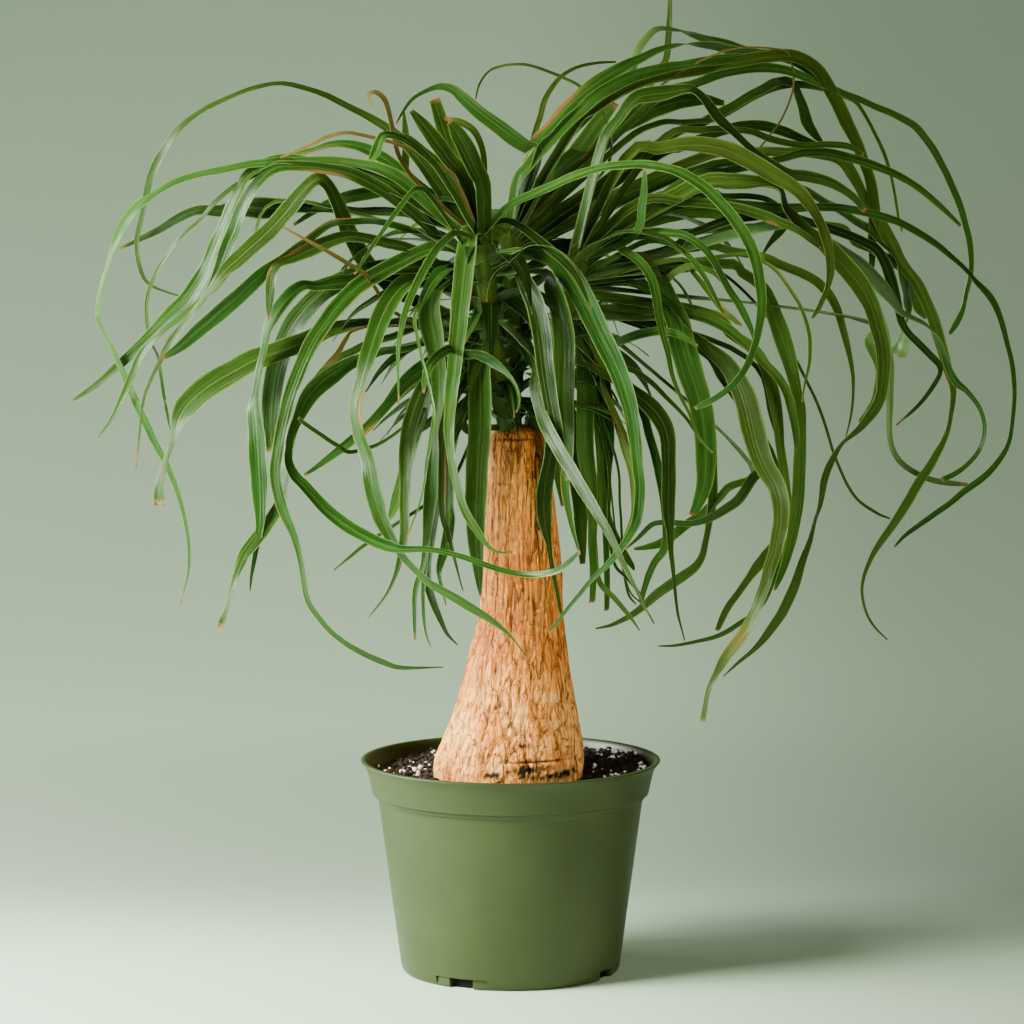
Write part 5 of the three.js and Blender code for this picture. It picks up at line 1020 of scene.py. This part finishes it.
# Which way a seen blade lies across its line, and how wide it is
def seenBlade(line, route, widths, turns):
    runs, share = line[1], line[3]
    place, marks = share * (len(widths) - 1), np.arange(len(widths))
    lean = np.sign(route[min(3, len(route) - 1), 0] - route[0, 0]) or 1
    flat = np.stack([-runs[:, 2], np.zeros(len(runs)), runs[:, 0]], -1)
    degrees = softened(np.interp(place, marks, turns)[:, None], 3)[:, 0]
    across = turnAbout(unit(softened(flat, 2)), runs, np.radians(-lean * degrees))
    return across, np.interp(place, marks, widths)


# The same for a blade by rule: it twists by a turn and a swing, and narrows at its foot and its tip
def ruledBlade(line, heading, width, turn, style):
    runs, arc, share = line[1:]
    swing = style["swing"] * np.sin(fullTurn * (arc / style["swingLength"] + style["phase"]))
    degrees = turn * share + swing * easeStep(0, 0.35, share) + style["tipTwist"] * share ** 4
    flat = np.tile([-math.sin(heading), math.cos(heading), 0], (len(runs), 1))
    foot = np.minimum(1, 0.72 + 2 * share) + fillSizes["sheath"] * np.exp(-share * 26)
    wobble = 1 + 0.035 * np.sin(fullTurn * (arc / 47 + 1.7 * style["phase"]))
    return turnAbout(flat, runs, np.radians(degrees)), width * foot * (1 - share ** 2.4) * wobble


# One strap leaf's shell. Across it u runs from -1 to 1: the upper face lies at the line, plus half width times u
# across, plus the channel's rise at its edges; the under face lies one thickness below.
def bladeShell(line, across, wide, flips, routePoints, style):
    size = leafSizes
    spots, runs, arc, share = line
    across = unit(across - runs * np.sum(across * runs, -1, keepdims=True))
    down = unit(np.cross(runs, across))
    down = -down if flips(down) else down
    half = np.maximum(wide, size["tipWidth"])[:, None] / 2
    taper = (1 - 0.45 * share)[:, None]
    u = np.concatenate([np.linspace(1, -1, size["acrossPoints"]), np.linspace(-1, 1, size["underPoints"])])
    below = np.repeat([0.0, 1.0], [size["acrossPoints"], size["underPoints"]])
    channel = style["channel"] * taper + 0.5 * np.exp(-share * 14)[:, None]
    ripple = size["ruffle"] * np.sin(fullTurn * (arc[:, None] / size["ruffleLength"] + style["phase"] + 0.21 * u))
    rise = half * channel * (0.4 * np.abs(u) + 0.6 * u ** 2) + ripple * u * np.abs(u) * np.minimum(half / 5, 1)
    thick = (size["edge"] + (size["thickness"] - size["edge"]) * (1 - u ** 2)) * taper * below
    shell = spots[:, None] + across[:, None] * (half * u)[..., None] + down[:, None] * (thick - rise)[..., None]
    if style["cut"]:
        shell[-1] += runs[-1] * (size["ragged"] * np.sin(5 * u + 9 * style["phase"]))[:, None]
    tipDry = style["tipDry"]
    fromTip = bell((1 - share) * arc[-1], tipDry)[:, None]
    dryness = np.maximum(min(1, 0.8 * tipDry) * fromTip, style["dryness"] + np.zeros_like(u))
    for first, last, side in style["patches"]:
        middle, reach = (first + last + 2) / 2 / (routePoints - 1), (last - first) / 2 / (routePoints - 1)
        strength = 0.7 * easeStep(0.1, 0.9, side * u) if side else 0.26
        dryness = np.maximum(dryness, strength * bell(share - middle, reach)[:, None])
    toneAndPaintedLight = style["toneAndPaintedLight"] + 0.3 * np.exp(-share * 18)[:, None] + np.zeros_like(dryness)
    lay = np.stack(np.broadcast_arrays(u * half / 6, arc[:, None] / 10, style["seed"]), -1)
    look = np.stack(np.broadcast_arrays(toneAndPaintedLight, dryness, below), -1)
    shell = shell.reshape(-1, 3)
    return {"points": shell, "faces": outward(shell, *tubeFaces(len(share), len(u))), "leafLay": lay.reshape(-1, 3),
            "leafLook": look.reshape(-1, 3), "leafEdge": np.tile(style["rim"] * np.abs(u), len(share)),
            "leafMargin": np.full(len(shell), style["marginDry"])}


# How one leaf differs from the next, from seeded draws and its notes
def leafStyle(draw, rule, notes):
    size = leafSizes
    style = {
        "phase": draw.uniform(0, 1), "toneAndPaintedLight": draw.normal(0.4, 0.15), "seed": draw.uniform(0, 90),
        "channel": size["channel"] * draw.uniform(0.6, 1.5), "tipDry": 0.4 + 5 * draw.uniform(0, 1) ** 4,
        "marginDry": max(0.0, draw.normal(-0.15, 0.4)), "swing": size["swing"] * draw.uniform(0.4, 1.5),
        "swingLength": size["swingLength"] * draw.uniform(0.7, 1.5), "tipTwist": draw.normal(0, size["tipTwist"]),
        "patches": notes.get("tan", []), "cut": notes.get("cut", False), "rim": 1,
    }
    # A head's offset and a leaf's darkening note lower its tone: the front head's offset and the notes are painted
    # shade
    style["toneAndPaintedLight"] += rule["toneAndPaintedLight"] + notes.get("shade", 0)
    style["dryness"] = notes["dry"] if "dry" in notes else rule["age"] * draw.uniform(0, 1) ** 1.5
    if style["cut"]:
        style["tipDry"] = 0.7
    return style


# Joins shells into one mesh's points, faces and values
def joinShells(shells):
    sizes = [len(s["points"]) for s in shells]
    shifts = np.cumsum([0] + sizes[:-1])
    faces = [np.concatenate([s["faces"][k] + shift for s, shift in zip(shells, shifts)]) for k in range(2)]
    keys = ("leafLay", "leafLook", "leafEdge", "leafMargin")
    values = {key: np.concatenate([s[key] for s in shells]) for key in keys}
    return np.concatenate([s["points"] for s in shells]), faces, values


# Strap leaf: tough blade with a thin waxy skin, so it has a pale sheen along its close parallel veins; light comes
# through it a little, its under face is duller, and it browns from the tip and the edges
def leafMaterial():
    size = leafSizes
    material, tree = newMaterial("strap leaf")
    lay = attribute(tree, "leafLay", "Vector")
    parts = addNode(tree, "SeparateXYZ", {}, {"Vector": attribute(tree, "leafLook", "Vector")}).outputs
    edge = attribute(tree, "leafEdge")
    veins = noise(tree, lay, 1.0, 3.0, stretch=size["veins"])
    bands = noise(tree, lay, 1.0, 1.0, stretch=size["bands"])
    patch = noise(tree, lay, 1.0, 3.0, stretch=size["patches"])
    veined = calculate(tree, "MULTIPLY_ADD", veins, 0.48, -0.24)
    patched = calculate(tree, "ADD", veined, calculate(tree, "MULTIPLY_ADD", patch, 0.46, -0.23))
    banded = calculate(tree, "ADD", patched, calculate(tree, "MULTIPLY_ADD", bands, 0.42, -0.21))
    toned = calculate(tree, "ADD", banded, parts["X"], clamped=True)
    stops = [(0.05, size["deep"]), (0.36, size["green"]), (0.68, size["fresh"]), (0.98, size["lime"])]
    faced = blend(tree, calculate(tree, "MULTIPLY", parts["Z"], 0.3), ramp(tree, toned, stops), size["under"])
    ribbed = blend(tree, mapped(tree, edge, 0.02, 0.12, 0.14, 0.0), faced, size["midrib"])
    rimmed = blend(tree, mapped(tree, edge, 0.84, 0.98, 0.0, 0.27), ribbed, size["margin"])
    streak = noise(tree, lay, 1.0, 1.0, stretch=size["streaks"])
    streaked = blend(tree, mapped(tree, streak, 0.58, 0.76, 0.0, 0.14), rimmed, size["margin"])
    worn = calculate(tree, "MULTIPLY", mapped(tree, edge, 0.72, 0.97, 0.0, 1.0), attribute(tree, "leafMargin"))
    wornSpots = calculate(tree, "MULTIPLY", worn, mapped(tree, patch, 0.48, 0.66, 0.0, 1.0), clamped=True)
    dry = calculate(tree, "MAXIMUM", parts["Y"], wornSpots)
    colour = streaked
    for low, high, most, name in ((0.0, 0.2, 0.75, "olive"), (0.18, 0.5, 1.0, "straw"), (0.5, 0.9, 1.0, "dry")):
        colour = blend(tree, mapped(tree, dry, low, high, 0.0, most), colour, size[name])
    finishMaterial(tree, colour, mapped(tree, patch, 0.0, 1.0, 0.2, 0.34), bump(tree, veins, 0.6, 0.0006), {
        "IOR": 1.5, "Specular IOR Level": 0.15, "Specular Tint": hexColour(size["glint"]),
        "Subsurface Weight": 0.25, "Subsurface Radius": (0.9, 1.2, 0.3), "Subsurface Scale": 0.0012})
    return material


# A stem's core: rings along its line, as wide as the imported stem, with the overlap of old leaf feet as a spiral
# of scales, where two sets of turns cross
def stemShell(head, style):
    size = stemSizes
    rings, sides = size["rings"], size["sides"]
    line = smoothPath(np.array(stems[head], float), rings)
    share = np.linspace(0, 1, rings)
    angle = np.linspace(0, fullTurn, sides, endpoint=False)
    along = share[:, None]
    swell = size["radius"] + size["swell"] * easeStep(0.25, 0.8, along)
    close = np.sqrt(np.clip(1 - easeStep(0.93, 1, along) ** 2, 0.05, 1))
    scales = np.sin(5 * angle + size["scaleTurns"] * along) * np.sin(3 * angle - size["counterTurns"] * along)
    radius = swell * close + size["scaleHeight"] * scales * easeStep(0.2, 0.35, along)
    points = np.stack([line[:, :1] + radius * np.cos(angle), line[:, 1:2] + radius * np.sin(angle),
                       np.repeat(line[:, 2:], sides, 1)], -1).reshape(-1, 3)
    count = len(points)
    lay = np.stack([np.tile(angle, rings) * 1.2, np.repeat(share * 12, sides), np.full(count, style["seed"])], -1)
    look = np.tile([0.5, 0.1, 0.0], (count, 1))
    return points, outward(points, *tubeFaces(rings, sides)), {
        "leafLay": lay, "leafLook": look, "leafEdge": np.full(count, 0.4), "leafMargin": np.zeros(count)}


# One head: its long leaves as seen, its inner leaves by rule, and the stem that carries them
def buildHead(head, leaves, material):
    rule = fillRules[head]
    nodes = [f"leafy_head_{head}"]
    sharp = leafSizes["sharpAngle"]
    draw = np.random.default_rng(rule["seed"])
    shells = []
    for rootHeight, place, route, *notes in leaves:
        x, z, seen = np.array(route, float).reshape(-1, 3).T
        route = seenRoute(head, rootHeight, place, x, z)
        line = bladeLine(route)
        across, wide = seenBlade(line, route, *seenShape(seen))
        style = leafStyle(draw, rule, notes[0] if notes else {})
        shells.append(bladeShell(line, across, wide, lambda down: down[:, 1].sum() < 0, len(route), style))
    points, faces, values = joinShells(shells)
    makePiece(f"long_leaves_{head}", points, faces, material, nodes, values, sharp)
    even = seededDraws(rule["seed"])
    shells = []
    for index in range(rule["count"] + rule["wisps"]):
        route, heading = bentRoute(head, rule, index, even)
        width = 10 + 6 * next(even) if index < rule["count"] else 2 + 2.5 * next(even)
        turn = 50 * (next(even) - 0.5)
        # The inner leaf is painted darker, as painted shade inside the crown
        style = leafStyle(draw, rule, {"shade": fillSizes["shade"]})
        style.update({"tipDry": fillSizes["tipDry"], "marginDry": 0, "rim": fillSizes["rim"]})
        line = bladeLine(route)
        across, wide = ruledBlade(line, heading, width, turn, style)
        shells.append(bladeShell(line, across, wide, lambda down: down[:, 2].sum() > 0, len(route), style))
    points, faces, values = joinShells(shells)
    makePiece(f"inner_leaves_{head}", points, faces, material, nodes, values, sharp)
    points, faces, values = stemShell(head, leafStyle(draw, rule, {}))
    makePiece(f"leafy_stem_{head}", points, faces, material, nodes, values)


# The stage: paper, lights and camera, in metres and degrees
stageSizes = {
    "paper": "#b2ccaf", "reach": 4.5, "front": -5.0, "bendStart": 0.7, "bendRadius": 1.4, "wallHeight": 2.4,
    "air": "#b4c4b4", "airStrength": 0.045,
}
# Each soft light: place, aim, width, depth, watts, colour, spread in degrees and use. A fill light gives no glint,
# and a sheen light gives nothing else.
softLights = {
    "key": ((-1.16, -0.64, 1.0), (-0.45, -0.5, 0), 0.6, 0.6, 62, "#fbfbee", 140, "fill"),
    "side": ((-1.3, 0.3, 0.4), (0, 0, 0.2), 0.8, 0.6, 16, "#f8fff4", 180, "both"),
    "front": ((-0.6, -2.1, 0.75), (0, 0, 0.25), 1.4, 1.2, 1, "#f4fbff", 180, "fill"),
    "low": ((-1.1, -0.35, 0.22), (-0.1, 0, 0.05), 0.5, 0.3, 9, "#f8fff8", 180, "both"),
    "corner": ((-1.1, -0.35, 0.6), (-0.45, -0.35, 0), 0.6, 0.4, 16, "#f8fff8", 110, "both"),
    "wash": ((-1.3, 1.3, 0.15), (-0.7, 2.1, 0.1), 0.6, 0.8, 9, "#f4fff4", 180, "both"),
    "fill": ((1.0, -1.5, 0.7), (0.1, 0, 0.2), 0.9, 0.9, 10, "#fff6e6", 100, "fill"),
    "sheen": ((-1.7, -0.05, 0.85), (-0.1, 0, 0.4), 0.5, 0.5, 48, "#fbfffb", 180, "sheen"),
}
cameraSizes = {"place": (0.0008, -2.58, 0.55), "pitch": 6.53, "lens": 166.6, "sensor": 36.0}


# How much of the paper's colour shows at a place, as painted light and shadow: full at the front left, 0.6 of that
# by the right as painted light falloff, and 0.3 to 0.46 less just behind the pot as a painted cast shadow
def paperPaintedLight(wide, deep):
    dip = easeStep(-0.02, 0.28, deep) * (1 - easeStep(0.3, 1.0, deep))
    left = 1 - 0.46 * dip + 0.12 * easeStep(0.5, 1.1, deep) - 0.12 * easeStep(1.3, 2.1, deep)
    right = 0.6 - 0.3 * dip + 0.1 * easeStep(1.1, 2.1, deep)
    return left + (right - left) * easeStep(-0.1, 0.36, wide)


# Matt paper, its colour darkened by painted light falloff and a painted shadow. Seen from behind it is clear.
def paperMaterial():
    material, tree = newMaterial("paper with painted light and shadow")
    colour = blend(tree, attribute(tree, "paperPaintedLight"), hexColour("#000000"), stageSizes["paper"])
    paper = addNode(tree, "BsdfPrincipled", {}, {"Base Color": colour, "Roughness": 0.9}).outputs[0]
    clear = addNode(tree, "BsdfTransparent", {}, {}).outputs[0]
    behind = addNode(tree, "NewGeometry", {}, {}).outputs["Backfacing"]
    sides = addNode(tree, "MixShader", {}, {0: behind, 1: paper, 2: clear})
    addNode(tree, "OutputMaterial", {}, {"Surface": sides.outputs[0]})
    return material


# A pale paper sweep: floor, a quarter-round bend and a wall, one sheet, in metres
def buildStage():
    size = stageSizes
    start, radius = size["bendStart"], size["bendRadius"]
    turn = np.linspace(0, np.pi / 2, 40)[1:]
    floorRows = np.concatenate([[size["front"], -1], np.linspace(-0.5, start, 61)])
    y = np.concatenate([floorRows, start + radius * np.sin(turn), [start + radius]])
    z = np.concatenate([np.zeros(len(floorRows)), radius * (1 - np.cos(turn)), [size["wallHeight"]]])
    x = np.concatenate([[-size["reach"], -1], np.linspace(-0.6, 0.6, 31), [1, size["reach"]]])
    wide, deep = np.meshgrid(x, y)
    points = np.stack([wide, deep, np.broadcast_to(z[:, None], wide.shape)], -1)
    row = np.arange(len(y) - 1)[:, None] * len(x) + np.arange(len(x) - 1)
    quads = np.stack([row, row + 1, row + len(x) + 1, row + len(x)], -1).reshape(-1, 4)
    mesh = bpy.data.meshes.new("paper_sweep")
    mesh.from_pydata(points.reshape(-1, 3).tolist(), [], quads.tolist())
    mesh.attributes.new("paperPaintedLight", "FLOAT", "POINT").data.foreach_set("value", paperPaintedLight(wide, deep).ravel())
    mesh.shade_smooth()
    mesh.materials.append(paperMaterial())
    sweep = bpy.data.objects.new("paper_sweep", mesh)
    bpy.context.collection.objects.link(sweep)


# The soft area lights, each turned to its aim, and a faint even light from all round
def buildLights():
    for name, (place, aim, width, depth, watts, colour, spread, use) in softLights.items():
        lamp = bpy.data.lights.new(name, "AREA")
        lamp.shape = "RECTANGLE"
        lamp.size, lamp.size_y = width, depth
        lamp.energy = watts
        lamp.spread = math.radians(spread)
        lamp.color = hexColour(colour)[:3]
        holder = bpy.data.objects.new(name, lamp)
        bpy.context.collection.objects.link(holder)
        holder.location = place
        x, y, z = np.array(aim) - np.array(place)
        holder.rotation_euler = (math.atan2(math.hypot(x, y), -z), 0, math.atan2(y, x) - math.pi / 2)
        holder.visible_diffuse = use != "sheen"
        holder.visible_glossy = use != "fill"
    world = bpy.data.worlds.new("soft daylight")
    bpy.context.scene.world = world
    world.use_nodes = True
    air = world.node_tree.nodes["Background"]
    air.inputs["Color"].default_value = hexColour(stageSizes["air"])
    air.inputs["Strength"].default_value = stageSizes["airStrength"]


# The camera stands where the photograph was taken
def buildCamera():
    lens = bpy.data.cameras.new("camera")
    lens.lens = cameraSizes["lens"]
    lens.sensor_width = cameraSizes["sensor"]
    camera = bpy.data.objects.new("camera", lens)
    bpy.context.collection.objects.link(camera)
    camera.location = cameraSizes["place"]
    camera.rotation_euler = (math.radians(90 - cameraSizes["pitch"]), 0, 0)
    bpy.context.scene.camera = camera


buildCamera()
buildPot()
print("pot made")
buildSoil()
print("soil made")
buildTrunk()
print("trunk made")
leafSkin = leafMaterial()
for head, leaves in (("front", frontLeaves), ("right", rightLeaves), ("back", backLeaves)):
    buildHead(head, leaves, leafSkin)
print("leaves made")
buildStage()
buildLights()
print("stage and lights set")
